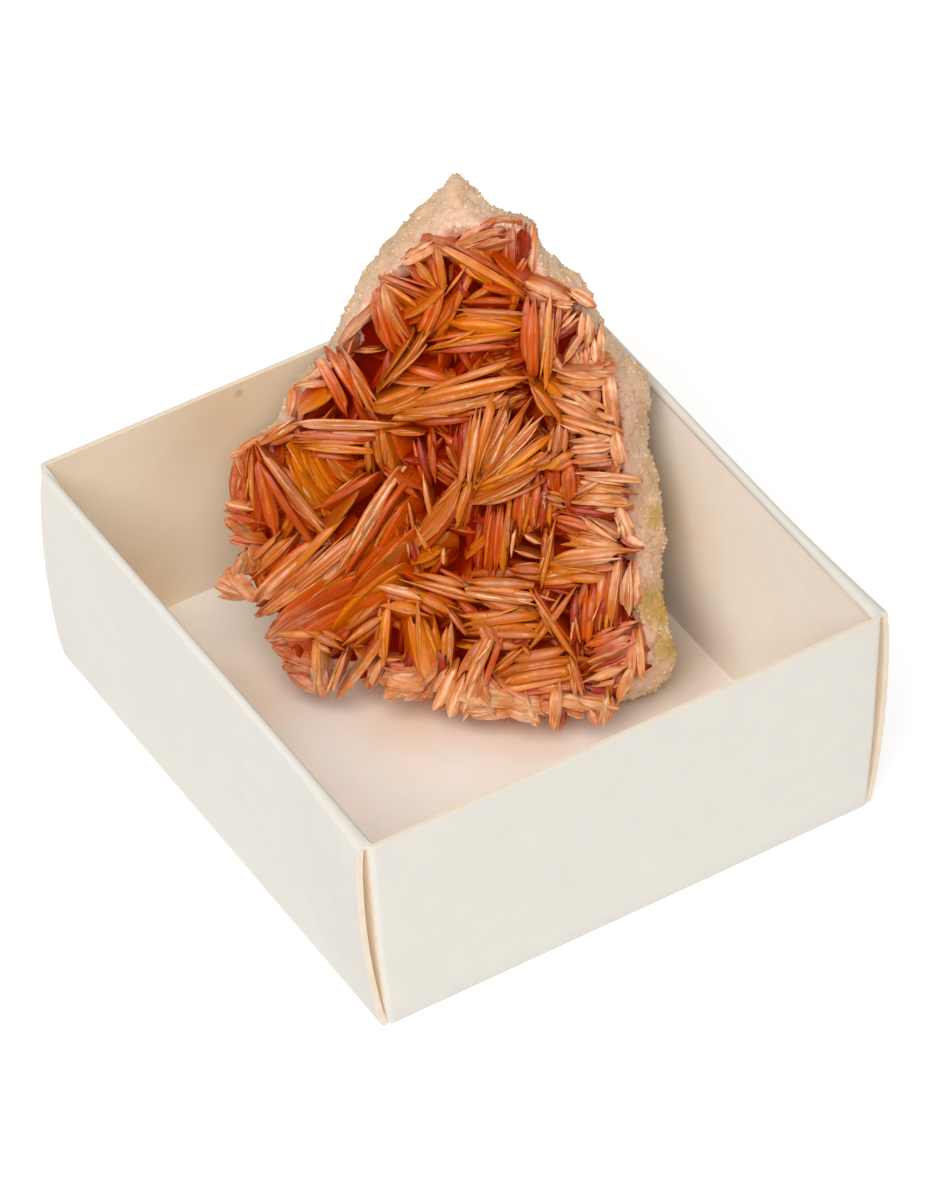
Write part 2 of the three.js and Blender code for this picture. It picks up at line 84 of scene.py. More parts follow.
# %% [markdown]
# ## From a bmesh to a finished piece
#
# Every piece is shaped in millimetres, which keeps the numbers readable, and scaled to
# metres once, at the end. The piece then rides on the only body and gets its materials,
# and the CAD node it stands for is hidden.


# %% Finishing a piece
def face_outward(bm):
    """Turn a closed shell whose faces all look inwards."""
    if bm.calc_volume(signed=True) < 0:
        bmesh.ops.reverse_faces(bm, faces=bm.faces)


def join_into(bm, part):
    mesh = bpy.data.meshes.new("part")
    part.to_mesh(mesh)
    part.free()
    bm.from_mesh(mesh)
    bpy.data.meshes.remove(mesh)


def finish_piece(bm, name, materials, node=None, smooth_below=40):
    volume = bm.calc_volume(signed=True)
    bmesh.ops.scale(bm, vec=(MM, MM, MM), verts=bm.verts)
    mesh = bpy.data.meshes.new(name)
    bm.to_mesh(mesh)
    bm.free()
    piece = bpy.data.objects.new(name, mesh)
    bpy.context.scene.collection.objects.link(piece)
    for material in materials:
        mesh.materials.append(material)
    mesh.polygons.foreach_set("use_smooth", [True] * len(mesh.polygons))
    mesh.set_sharp_from_angle(angle=math.radians(smooth_below))
    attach(piece, "root")
    if node:
        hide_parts(node)
    triangles = sum(len(face.vertices) - 2 for face in mesh.polygons)
    print(name, "has", triangles, "triangles and encloses", round(volume), "mm3")
    return piece


# %% [markdown]
# ## Material helpers
#
# A finish here is a small tree of noise, ramps and mixes that ends in one Principled
# shader. These helpers keep each tree short: one adds a node and sets its sockets, one
# makes noise, one a colour ramp, and one mixes two colours.


# %% Material helpers
def new_material(name):
    material = bpy.data.materials.new(name)
    material.use_nodes = True
    return material, material.node_tree, material.node_tree.nodes["Principled BSDF"]


def add_node(tree, kind, links=(), **sockets):
    node = tree.nodes.new(kind)
    for key, value in sockets.items():
        node.inputs[key.replace("_", " ")].default_value = value
    for key, source in dict(links).items():
        tree.links.new(source, node.inputs[key])
    return node


def noise_node(tree, place, scale, detail=3, roughness=0.5):
    return add_node(
        tree, "ShaderNodeTexNoise", {"Vector": place}, Scale=scale, Detail=detail, Roughness=roughness
    )


def ramp(tree, value, stops, interpolation="LINEAR"):
    node = add_node(tree, "ShaderNodeValToRGB", {"Fac": value})
    node.color_ramp.interpolation = interpolation
    elements = node.color_ramp.elements
    while len(elements) < len(stops):
        elements.new(0.5)
    for element, (position, colour) in zip(elements, stops):
        element.position = position
        element.color = colour if len(colour) == 4 else (*colour, 1)
    return node.outputs["Color"]


def grey(level):
    return (level, level, level)


def mix(tree, share, first, second, blend="MIX"):
    node = tree.nodes.new("ShaderNodeMix")
    node.data_type = "RGBA"
    node.blend_type = blend
    for socket, value in ((node.inputs[0], share), (node.inputs[6], first), (node.inputs[7], second)):
        if isinstance(value, bpy.types.NodeSocket):
            tree.links.new(value, socket)
        elif isinstance(value, (int, float)):
            socket.default_value = value
        else:
            socket.default_value = (*value, 1)
    return node.outputs[2]


def maths(tree, operation, first, second=0.0, clamp=False):
    node = tree.nodes.new("ShaderNodeMath")
    node.operation = operation
    node.use_clamp = clamp
    for socket, value in ((node.inputs[0], first), (node.inputs[1], second)):
        if isinstance(value, bpy.types.NodeSocket):
            tree.links.new(value, socket)
        else:
            socket.default_value = value
    return node.outputs[0]


def bump(tree, shader, height, strength, distance):
    node = add_node(
        tree, "ShaderNodeBump", {"Height": height}, Strength=strength, Distance=distance
    )
    tree.links.new(node.outputs["Normal"], shader.inputs["Normal"])
    return node


def from_srgb(red, green, blue):
    def linear(level):
        share = level / 255
        return share / 12.92 if share < 0.04045 else ((share + 0.055) / 1.055) ** 2.4

    return (linear(red), linear(green), linear(blue))


print("material helpers ready")

# %% [markdown]
# ## Card
#
# The tray is folded from card that is white outside and creamier inside. The outside colour
# is set a little greyer than the inside, a painted shade that offsets the light the glowing
# floor throws on the outer walls, and the inside of the Y walls is painted yellower and
# darker still, a painted shade. It is matt, with a faint mottle of fibres. Where it was cut,
# the core shows as a warmer cream. One material does both sides: an attribute on the mesh
# tells inside from outside. A small brownish spot on the rear left wall, just under the rim,
# is dirt on the real tray, so it stays. Around the specimen the inside is painted warmer and
# a little darker in a few wide, soft patches: painted shade and painted orange light, for the
# broad shade the specimen throws on the card and the orange light its blades bounce onto it.
# The cut card has a faint painted glow, an emission that stands in for light that passes
# through thin card.

# %% Card materials
# The outside card is set greyer than the inside: a painted shade that offsets the light the glowing floor
# throws on the outer walls. The inner card of the Y walls is painted yellower and darker than the floor
# and the X walls: painted shade.
WHITE_CARD = from_srgb(225, 222, 215)
FLOOR_CARD = from_srgb(252, 246, 239)
RIGHT_CARD = from_srgb(251, 246, 236)
Y_WALL_CARD_WITH_PAINTED_SHADE = from_srgb(249, 236, 213)
# Colour of the painted glow on the cut card, an emission standing in for light in thin card.
CARD_PAINTED_GLOW = from_srgb(240, 208, 172)
CARD_SPOT = (-8.1, 35.8, 28.4)
# Painted shade and painted orange bounce light around the specimen: a spot in mm, its reach in mm, and the
# colour that the inside is multiplied by there.
PAINTED_SHADE_PATCHES = [
    ((25, -3, 0.6), 15, (0.6, 0.5, 0.42)),
    ((32, 4, 14), 13, (0.95, 0.87, 0.77)),
    ((-4, 4.5, 0.6), 12, (0.96, 0.81, 0.68)),
    ((6, -3.5, 0.6), 12, (0.96, 0.81, 0.68)),
    ((-20, 17, 0.6), 14, (0.92, 0.84, 0.74)),
    ((-26, 35, 4), 14, (0.96, 0.88, 0.76)),
    ((-10, 35, 27), 14, (0.9, 0.85, 0.76)),
]


# Used for the real dirt spot and for the painted shade patches.
def dirt_and_painted_shade_spot(tree, place, spot, colour, near, far):
    """A colour at a spot given in mm that fades to white between two distances."""
    distance = tree.nodes.new("ShaderNodeVectorMath")
    distance.operation = "DISTANCE"
    tree.links.new(place, distance.inputs[0])
    distance.inputs[1].default_value = Vector(spot) * MM
    share = maths(tree, "MULTIPLY", distance.outputs["Value"], 1 / (far * MM))
    return ramp(tree, share, [(near / far, colour), (1, grey(1))], "EASE")


def card_material():
    material, tree, shader = new_material("white_card")
    place = tree.nodes.new("ShaderNodeTexCoord").outputs["Object"]
    side = add_node(tree, "ShaderNodeAttribute")
    side.attribute_name = "inside"
    base = ramp(
        tree,
        side.outputs["Fac"],
        [(0, WHITE_CARD), (0.5, FLOOR_CARD), (0.75, RIGHT_CARD), (1, Y_WALL_CARD_WITH_PAINTED_SHADE)],
    )
    mottle = noise_node(tree, place, 260, 4, 0.6)
    shade = ramp(tree, mottle.outputs["Fac"], [(0.3, grey(0.965)), (0.7, grey(1.0))])
    base = mix(tree, 1, base, shade, "MULTIPLY")
    dirt = dirt_and_painted_shade_spot(tree, place, CARD_SPOT, (0.8, 0.76, 0.7), 0.25, 0.95)
    base = mix(tree, 1, base, dirt, "MULTIPLY")
    # Painted shade: the patches darken and warm only the inside faces.
    within = ramp(tree, side.outputs["Fac"], [(0.2, grey(0)), (0.45, grey(1))])
    for spot, reach, colour in PAINTED_SHADE_PATCHES:
        base = mix(tree, within, base, dirt_and_painted_shade_spot(tree, place, spot, colour, 0, reach), "MULTIPLY")
    tree.links.new(base, shader.inputs["Base Color"])
    shader.inputs["Roughness"].default_value = 0.75
    shader.inputs["Specular IOR Level"].default_value = 0.25
    fibres = noise_node(tree, place, 1400, 3, 0.7)
    bump(tree, shader, fibres.outputs["Fac"], 0.12, 0.0001)
    return material


def cut_card_material():
    material, tree, shader = new_material("cut_card")
    place = tree.nodes.new("ShaderNodeTexCoord").outputs["Object"]
    layers = noise_node(tree, place, 900, 2)
    base = ramp(
        tree,
        layers.outputs["Fac"],
        [(0.3, from_srgb(212, 199, 178)), (0.7, from_srgb(220, 209, 193))],
    )
    tree.links.new(base, shader.inputs["Base Color"])
    shader.inputs["Roughness"].default_value = 0.85
    # Painted glow: a faint emission, though the card is no lamp.
    shader.inputs["Emission Color"].default_value = (*CARD_PAINTED_GLOW, 1)
    shader.inputs["Emission Strength"].default_value = 0.15
    return material


card_white = card_material()
card_cut = cut_card_material()
print("card materials ready")

# %% [markdown]
# ## Folded tray
#
# The real tray starts as a flat sheet. Four flaps fold up into walls, and two more panels fold
# down over the outside of the X walls, so there the wall is double. The card springs a
# little: the walls lean out, the feet of the X walls bow in, and the free ends of the outer
# panels bulge away from the corners. The floor is drawn as one ring, the walls are that ring
# extruded upwards step by step, and solidify gives the card its thickness. The driving sizes
# are those of the CAD model.

# %% Tray sizes
TRAY_WIDTH = 64.8
TRAY_DEPTH = 70.8
TRAY_HEIGHT = 30
CARD = 0.6
FOLD_RADIUS = 0.8
SIDE_FLARE = {1: 0.3, -1: 2.1}
END_FLARE = {1: 1.3, -1: 0.3}
FOOT_BOW = 1.9
CORNER_SPRING = 0.4
PANEL_REACH = 35
PANEL_SPRING = 1.0
SPRING_FULLNESS = 0.7
SPRING_STARTS = 0.6
RIM_SPRING = 0.88
RIM_SPRING_STARTS = 0.4
PANEL_SINK = 0.15
FOLD_STEPS = 6
WALL_STEPS = 14
HEIGHT_STEPS = 12
FLOOR_FOLD = 0.35
FLOOR_ROOM = 28
CUT_SOFTNESS = 0.08


def corner_fold(turn, share):
    side_x, side_y = ((1, -1), (1, 1), (-1, 1), (-1, -1))[turn]
    spring = CORNER_SPRING * min(1, share / 0.4) if side_y < 0 else 0
    reach_x = TRAY_WIDTH / 2 + SIDE_FLARE[side_x] * share + spring - FOLD_RADIUS
    reach_y = TRAY_DEPTH / 2 + END_FLARE[side_y] * share - FOLD_RADIUS
    fold = []
    for k in range(FOLD_STEPS + 1):
        angle = (turn - 1 + k / FOLD_STEPS) * math.pi / 2
        x = side_x * reach_x + FOLD_RADIUS * math.cos(angle)
        y = side_y * reach_y + FOLD_RADIUS * math.sin(angle)
        fold.append((x, y))
    return fold


def wall_plan(height):
    """Outline of the folded walls at one height, as (x, y) in mm."""
    share = height / TRAY_HEIGHT
    folds = [corner_fold(turn, share) for turn in range(4)]
    plan = []
    for turn, fold in enumerate(folds):
        plan += fold
        start, end = Vector(fold[-1]), Vector(folds[(turn + 1) % 4][0])
        is_x_wall = turn % 2 == 0
        bow = FOOT_BOW * (1 - share) * math.copysign(1, start.x) if is_x_wall else 0
        for k in range(1, WALL_STEPS):
            t = k / WALL_STEPS
            x, y = start.lerp(end, t)
            plan.append((x - bow * math.sin(math.pi * t), y))
    return plan


print("tray plan has", len(wall_plan(0)), "corners")


# %% Folded walls
def folded_walls():
    bm = bmesh.new()
    count = len(wall_plan(0))
    bmesh.ops.create_circle(bm, cap_ends=True, segments=count, radius=1)
    bm.verts.ensure_lookup_table()
    ring = bm.verts[:]
    for vert, (x, y) in zip(ring, wall_plan(0)):
        vert.co = (x, y, 0)
    fold = bm.edges[:]
    edges = fold
    for step in range(1, HEIGHT_STEPS + 1):
        height = TRAY_HEIGHT * step / HEIGHT_STEPS
        made = bmesh.ops.extrude_edge_only(bm, edges=edges)["geom"]
        fresh = {item for item in made if isinstance(item, bmesh.types.BMVert)}
        rising = {}
        for vert in fresh:
            for edge in vert.link_edges:
                below = edge.other_vert(vert)
                if below not in fresh:
                    rising[below] = vert
        ring = [rising[vert] for vert in ring]
        for vert, (x, y) in zip(ring, wall_plan(height)):
            under_fold = step == HEIGHT_STEPS and abs(y) < PANEL_REACH - 1
            vert.co = (x, y, height - (CARD if under_fold else 0))
        edges = [
            item
            for item in made
            if isinstance(item, bmesh.types.BMEdge) and all(vert in fresh for vert in item.verts)
        ]
    bmesh.ops.bevel(
        bm,
        geom=fold,
        offset=FLOOR_FOLD,
        offset_type="OFFSET",
        affect="EDGES",
        segments=2,
        profile=0.5,
        material=-1,
    )
    bmesh.ops.recalc_face_normals(bm, faces=bm.faces)
    if sum(face.normal.z * face.calc_area() for face in bm.faces) > 0:
        bmesh.ops.reverse_faces(bm, faces=bm.faces)
    bmesh.ops.solidify(bm, geom=bm.faces[:], thickness=CARD)
    face_outward(bm)
    for face in bm.faces:
        middle = face.calc_center_median()
        at_rim = middle.z > TRAY_HEIGHT - 0.35 and abs(face.normal.z) > 0.6
        on_cut_edge = at_rim and abs(middle.x) < TRAY_WIDTH / 2 - 0.4
        under_panel = face.normal.x * middle.x > 0.9 * abs(middle.x) and abs(middle.x) > FLOOR_ROOM
        face.material_index = int(on_cut_edge or under_panel)
    return bm


# %% [markdown]
# The outer panel on each X wall is a grid laid on the wall. Its middle lies flat against
# the fold and its two ends spring out most at half height, so from the corner one sees a
# thin lens of shadow between the panel and the folded wall. Along the rim a rounded fold
# joins the two layers. The cut ends and the raw back of the panel show the card's core.


# %% Outer panels
def panel_spring(s, share):
    near_end = max(0, (abs(s) - SPRING_STARTS) / (1 - SPRING_STARTS))
    near_front = max(0, (-s - RIM_SPRING_STARTS) / (1 - RIM_SPRING_STARTS))
    bulge = max(0, math.sin(math.pi * share)) ** SPRING_FULLNESS * near_end
    return PANEL_SPRING * bulge + RIM_SPRING * share * near_front**1.5


def panel_point(side, s, share):
    spring = panel_spring(s, share)
    x = side * (TRAY_WIDTH / 2 + SIDE_FLARE[side] * share + spring - PANEL_SINK)
    return Vector((x, s * PANEL_REACH, share * (TRAY_HEIGHT - CARD)))


def outer_panel(side):
    bm = bmesh.new()
    bmesh.ops.create_grid(bm, x_segments=36, y_segments=HEIGHT_STEPS, size=1)
    for vert in bm.verts:
        vert.co = panel_point(side, vert.co.x, (vert.co.y + 1) / 2)
    bmesh.ops.recalc_face_normals(bm, faces=bm.faces)
    if sum(face.normal.x for face in bm.faces) * side < 0:
        bmesh.ops.reverse_faces(bm, faces=bm.faces)
    bmesh.ops.solidify(bm, geom=bm.faces[:], thickness=-(CARD + PANEL_SINK))
    face_outward(bm)
    for face in bm.faces:
        face.material_index = int(face.normal.x * side < 0.5)
    return bm


def rim_fold(side):
    """A round bar over the two layers, flatter and wider where the panel has sprung away."""
    bm = bmesh.new()
    lying = Matrix.Rotation(math.pi / 2, 4, "X")
    bmesh.ops.create_cone(
        bm, cap_ends=True, segments=16, radius1=CARD, radius2=CARD, depth=2 * PANEL_REACH, matrix=lying
    )
    lengthwise = [edge for edge in bm.edges if abs(edge.verts[0].co.y - edge.verts[1].co.y) > 1]
    bmesh.ops.subdivide_edges(bm, edges=lengthwise, cuts=35, use_grid_fill=True)
    middle = side * (TRAY_WIDTH / 2 + SIDE_FLARE[side])
    for vert in bm.verts:
        spring = panel_spring(vert.co.y / PANEL_REACH, 1)
        outwards = (side * vert.co.x + CARD) / (2 * CARD)
        vert.co.x += middle + side * spring * outwards
        if vert.co.z < 0:
            vert.co.z *= max(0.1, 1 - spring / RIM_SPRING)
        vert.co.z += TRAY_HEIGHT - CARD
    face_outward(bm)
    return bm


# %% [markdown]
# The parts of the tray are joined and their sharp corners get a tiny bevel, because card
# has no knife edge. A face counts as inside the tray when it looks towards the middle or
# up from the floor.


# %% Tray piece
def soften_cuts(bm):
    sharp = [
        edge
        for edge in bm.edges
        if len(edge.link_faces) == 2 and edge.calc_face_angle() > math.radians(60)
    ]
    bmesh.ops.bevel(
        bm,
        geom=sharp,
        offset=CUT_SOFTNESS,
        offset_type="OFFSET",
        affect="EDGES",
        segments=1,
        profile=0.5,
        material=-1,
        clamp_overlap=True,
    )


def looks_inside(face):
    middle = face.calc_center_median()
    if middle.z > TRAY_HEIGHT - 2 * CARD:
        return False
    if abs(middle.x) < TRAY_WIDTH / 2 - 2 and abs(middle.y) < TRAY_DEPTH / 2 - 2:
        return face.normal.z > 0
    outward = Vector((middle.x / TRAY_WIDTH, middle.y / TRAY_DEPTH, 0))
    return face.normal.dot(outward) < -0.1


def inside_tone(face):
    if face.calc_center_median().z < CARD + 0.1:
        return 0.5
    return 1.0 if abs(face.normal.y) > abs(face.normal.x) else 0.75


def make_tray():
    bm = folded_walls()
    for side in (1, -1):
        join_into(bm, outer_panel(side))
        join_into(bm, rim_fold(side))
    soften_cuts(bm)
    for vert in bm.verts:
        vert.co.z = max(vert.co.z, 0)
    inside = bm.verts.layers.float.new("inside")
    for face in bm.faces:
        if looks_inside(face):
            for vert in face.verts:
                vert[inside] = inside_tone(face)
    print("faces of cut card:", sum(face.material_index for face in bm.faces))
    return finish_piece(bm, "folded_tray", [card_white, card_cut], "card_tray")


tray = make_tray()

# %% [markdown]
# ## How the specimen stands
#
# The specimen leans back into the corner. Places on it are given on its front face: U
# across, V up the leaning face, W out of it, in mm. U and V are read as the camera sees
# them. The camera looks a few degrees down and sideways onto the face, so a point that lies
# deeper has to shift a little to show at the same U and V.

# %% Face of the specimen
FACE_FOOT = Vector((-2.6, -2.0, 3.5))
FACE_HEADING = math.radians(41)
FACE_LEAN = math.radians(32)
ACROSS = Vector((math.cos(FACE_HEADING), -math.sin(FACE_HEADING), 0))
LEVEL_BACK = Vector((math.sin(FACE_HEADING), math.cos(FACE_HEADING), 0))
UP_FACE = LEVEL_BACK * math.sin(FACE_LEAN) + Vector((0, 0, math.cos(FACE_LEAN)))
OUT_OF_FACE = ACROSS.cross(UP_FACE)
SHIFT_ACROSS = 0.111
SHIFT_UP = 0.223


def on_face(across, up, out):
    return (
        FACE_FOOT
        + ACROSS * (across + SHIFT_ACROSS * out)
        + UP_FACE * (up + SHIFT_UP * out)
        + OUT_OF_FACE * out
    )


def seen_place(point):
    """U, V and W of a point in mm, as the camera sees it."""
    from_foot = point - FACE_FOOT
    out = from_foot.dot(OUT_OF_FACE)
    across = from_foot.dot(ACROSS) - SHIFT_ACROSS * out
    up = from_foot.dot(UP_FACE) - SHIFT_UP * out
    return across, up, out


print("the face looks towards", [round(c, 2) for c in OUT_OF_FACE])

# %% [markdown]
# The rock's outline as it shows from the front, clockwise from the foot: U, V, and the
# width of the bare band between the outline and the first blades. At the foot and on the
# left the blades hang over the rock, so there the band is negative.

# %% Outline of the rock
HEART = (-1, 28)
ROCK_OUTLINE = [
    (2, 4.2, -3.4), (-4, 4.6, -2.8), (-10, 5.2, -2.6), (-15, 5.0, -3.2), (-18.5, 6.2, -2.8),
    (-21, 9.5, -2.6), (-23, 13, -3.2), (-24.8, 17, -2.4), (-26.3, 21, -2.4), (-26.6, 25, -2),
    (-27, 28.4, -1.6), (-26, 31.3, 1),
    (-23.8, 33, 1.8), (-22.3, 36.4, 1.2), (-20.6, 39.2, 1.6), (-18.2, 42.6, 1.8), (-17.2, 45.4, 2),
    (-16, 48.4, 2.2), (-14.8, 51.6, 2.6), (-13.2, 55, 3.4), (-10.8, 58, 4.2), (-8.5, 60.6, 4.6),
    (-6.6, 62.5, 5), (-5.6, 64.3, 6.2), (-4.6, 64.2, 6), (-3, 63.2, 4.6), (-1.2, 61.3, 2.6),
    (1, 60.7, 1.6), (4.2, 59.9, 1.8), (5.2, 57.2, 1.8), (6.8, 56.1, 3), (8.4, 55, 3.6),
    (10.6, 53.8, 3.2), (12, 51, 2.2), (13.4, 48.4, 2), (15.8, 46, 3.2), (18.4, 43.8, 4.2),
    (19.3, 41.6, 4), (19.2, 38, 3), (19.3, 35, 2.6), (20.4, 32.8, 3.2), (21.3, 30.2, 3.6),
    (22, 27, 4), (22.7, 24, 4.2), (22.3, 20.8, 3), (22.8, 17.6, 3.4), (23.6, 14.4, 4.2),
    (24.7, 10.8, 4.2), (24.2, 8, 3.4), (22.4, 6.2, 2.4), (20, 4.8, 1), (17, 4.2, -2.6),
    (12, 4.0, -3), (7, 4.0, -3),
]


def outline_reach(across, up):
    """Distance from the heart to the outline in the direction of a place, and the band there."""
    angle = math.atan2(up - HEART[1], across - HEART[0])
    best = (1e9, 0, 0)
    for u, v, band in ROCK_OUTLINE:
        turn = math.atan2(v - HEART[1], u - HEART[0]) - angle
        turn = abs(math.atan2(math.sin(turn), math.cos(turn)))
        best = min(best, (turn, math.hypot(u - HEART[0], v - HEART[1]), band))
    return best[1], best[2]


def beyond_field(across, up, overhang=True):
    """How far a place lies outside the field of blades; below zero it lies inside."""
    reach, band = outline_reach(across, up)
    if not overhang:
        band = max(band, 0.4)
    return math.hypot(across - HEART[0], up - HEART[1]) - (reach - band)


print("rock outline has", len(ROCK_OUTLINE), "points")

# %% [markdown]
# ## Rock
#
# The matrix is a pale, sugary rock: masses of tiny crystals, beige to pinkish white, with
# yellowish stains low on the right. The CAD solid already has its form. A copy of it is
# remeshed to small even faces and each point moves along its normal by two sizes of
# rounded grain, so the outline turns knobbly too. Points stay clear of the tray. Grains that
# are smaller than the depth light reaches would turn dark with subsurface light, so the sugar
# crystals have the same finish without it.

# %% Rock material
ROCK_BEIGE = from_srgb(228, 194, 156)
ROCK_PINK = from_srgb(246, 198, 172)
ROCK_GREY = from_srgb(206, 176, 136)
ROCK_STAIN = from_srgb(208, 170, 84)


def rock_material(name, subsurface):
    material, tree, shader = new_material(name)
    place = tree.nodes.new("ShaderNodeTexCoord").outputs["Object"]
    zone = add_node(tree, "ShaderNodeAttribute")
    zone.attribute_name = "zone"
    parts = add_node(tree, "ShaderNodeSeparateColor", {"Color": zone.outputs["Color"]})
    patches = noise_node(tree, place, 170, 4, 0.55)
    base = ramp(
        tree,
        patches.outputs["Fac"],
        [(0.32, ROCK_GREY), (0.5, ROCK_BEIGE), (0.68, from_srgb(242, 218, 190))],
    )
    base = mix(tree, parts.outputs["Red"], base, ROCK_PINK)
    stain_edge = noise_node(tree, place, 420, 3, 0.6)
    stain = maths(tree, "MULTIPLY", parts.outputs["Green"], stain_edge.outputs["Fac"])
    stain = ramp(tree, stain, [(0.12, grey(0)), (0.35, grey(0.9))])
    base = mix(tree, stain, base, ROCK_STAIN)
    grains = add_node(tree, "ShaderNodeTexVoronoi", {"Vector": place}, Scale=1300.0)
    shade = ramp(tree, grains.outputs["Distance"], [(0.0, grey(1.04)), (0.75, grey(0.88))])
    base = mix(tree, 1, base, shade, "MULTIPLY")
    tree.links.new(base, shader.inputs["Base Color"])
    shader.inputs["Roughness"].default_value = 0.45
    shader.inputs["Specular IOR Level"].default_value = 0.5
    shader.inputs["Subsurface Weight"].default_value = subsurface
    shader.inputs["Subsurface Radius"].default_value = (1.0, 0.7, 0.5)
    shader.inputs["Subsurface Scale"].default_value = 0.0012
    fine = noise_node(tree, place, 2600, 4, 0.7)
    height = maths(tree, "ADD", grains.outputs["Distance"], fine.outputs["Fac"])
    bump(tree, shader, height, 0.35, 0.0002)
    return material


sugary_rock = rock_material("sugary_rock", 0.35)
sugar_grain = rock_material("sugar_grain", 0)
print("rock materials ready")

# %% Rock piece
VOXEL = 0.42
COARSE_GRAIN = 2.4
COARSE_SWELL = 0.65
FINE_GRAIN = 1.0
FINE_SWELL = 0.3
FLOOR_CLEAR = 0.7
WALL_CLEAR_X = 31.6
WALL_CLEAR_Y = 34.6
TOP_CLEAR = 52.4
STAIN_SPOTS = [(22, 16.5, 4.6), (21.3, 27, 2.6), (23.8, 12, 2.8)]


def remeshed_copy(source, voxel):
    """A merged copy of a CAD node's mesh, remade of small even faces, as a bmesh in mm."""
    bm = bmesh.new()
    bm.from_mesh(source.data)
    bmesh.ops.remove_doubles(bm, verts=bm.verts, dist=0.001 * MM)
    bmesh.ops.scale(bm, vec=(1 / MM,) * 3, verts=bm.verts)
    mesh = bpy.data.meshes.new("copy")
    bm.to_mesh(mesh)
    holder = bpy.data.objects.new("copy", mesh)
    bpy.context.scene.collection.objects.link(holder)
    remesh = holder.modifiers.new("remesh", "REMESH")
    remesh.mode = "VOXEL"
    remesh.voxel_size = voxel
    evaluated = holder.evaluated_get(bpy.context.evaluated_depsgraph_get())
    fine = bpy.data.meshes.new_from_object(evaluated)
    bm.clear()
    bm.from_mesh(fine)
    bpy.data.objects.remove(holder)
    bpy.data.meshes.remove(mesh)
    bpy.data.meshes.remove(fine)
    return bm


def grain_swell(point):
    """How far the rock's surface swells at a point: rounded grains of two sizes."""
    coarse = 0.3 - noise.voronoi(point / COARSE_GRAIN)[0][0] ** 2
    fine = 0.3 - noise.voronoi(point / FINE_GRAIN)[0][0] ** 2
    return COARSE_SWELL * coarse + FINE_SWELL * fine + 0.3 * noise.noise(point / 6)


def clear_of_tray(point):
    point.x = min(point.x, WALL_CLEAR_X)
    point.y = min(point.y, WALL_CLEAR_Y)
    point.z = min(max(point.z, FLOOR_CLEAR), TOP_CLEAR)
    return point


def rock_zone(point):
    """Pinkness near the blades and yellow stain, each from 0 to 1."""
    across, up, out = seen_place(point)
    reach, band = outline_reach(across, up)
    from_edge = reach - math.hypot(across - HEART[0], up - HEART[1])
    pink = max(0, min(1, from_edge / max(band, 1.0) * 0.9 - 0.1)) if out > -11 else 0
    stain = 0
    for u, v, size in STAIN_SPOTS:
        stain = max(stain, 1 - math.hypot(across - u, up - v) / size)
    return (pink, stain if out > -13 else 0, 0, 1)


def make_rock():
    bm = remeshed_copy(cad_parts["matrix"], VOXEL)
    for _ in range(3):
        bmesh.ops.smooth_vert(
            bm, verts=bm.verts, factor=0.5, use_axis_x=True, use_axis_y=True, use_axis_z=True
        )
    bm.normal_update()
    places = [clear_of_tray(vert.co + vert.normal * grain_swell(vert.co)) for vert in bm.verts]
    zone = bm.verts.layers.float_color.new("zone")
    for vert, place in zip(bm.verts, places):
        vert.co = place
        vert[zone] = rock_zone(place)
    return bm


rock_bm = make_rock()
print("rock has", len(rock_bm.faces), "faces")

# %% [markdown]
# Grains alone look like clay. What makes the rock sugary is that some grains are small
# clear-faced crystals that catch the light. They are tiny skewed blocks, each a cube made
# by an operator with its own matrix, half sunk in the surface. They are seeded, so they
# come out the same each time.

# %% Sugar crystals on the rock
SUGAR_BATCHES = 35
SUGAR_PER_BATCH = 220
SUGAR_SIZE = (0.18, 0.42)


def random_turn(rng):
    axis = Vector([rng.gauss(0, 1) for _ in range(3)])
    return Matrix.Rotation(rng.uniform(0, math.tau), 4, axis.normalized())


def sugar_batch(faces, zone_in, count, rng):
    bm = bmesh.new()
    zone = bm.verts.layers.float_color.new("zone")
    for _ in range(count):
        face = rng.choice(faces)
        size = rng.uniform(*SUGAR_SIZE)
        spot = face.calc_center_median()
        near_wall = spot.x > WALL_CLEAR_X - 1 or spot.y > WALL_CLEAR_Y - 1
        if near_wall or not FLOOR_CLEAR + size < spot.z < TOP_CLEAR - size:
            continue
        skew = Matrix(((1, 0.25, 0, 0), (0, 1, 0.2, 0), (0, 0, 0.8, 0), (0, 0, 0, 1)))
        place = Matrix.Translation(spot) @ random_turn(rng) @ Matrix.Scale(size, 4) @ skew
        made = bmesh.ops.create_cube(bm, size=1, matrix=place)
        for vert in made["verts"]:
            vert[zone] = face.verts[0][zone_in]
    return bm


def sugar_crystals(surface, rng):
    faces = list(surface.faces)
    zone_in = surface.verts.layers.float_color["zone"]
    bm = bmesh.new()
    bm.verts.layers.float_color.new("zone")
    for _ in range(SUGAR_BATCHES):
        join_into(bm, sugar_batch(faces, zone_in, SUGAR_PER_BATCH, rng))
    return bm


sugar_bm = sugar_crystals(rock_bm, random.Random(31))
rock = finish_piece(rock_bm, "sugary_rock", [sugary_rock], "matrix", 60)
sugar = finish_piece(sugar_bm, "rock_sugar", [sugar_grain], None, 20)

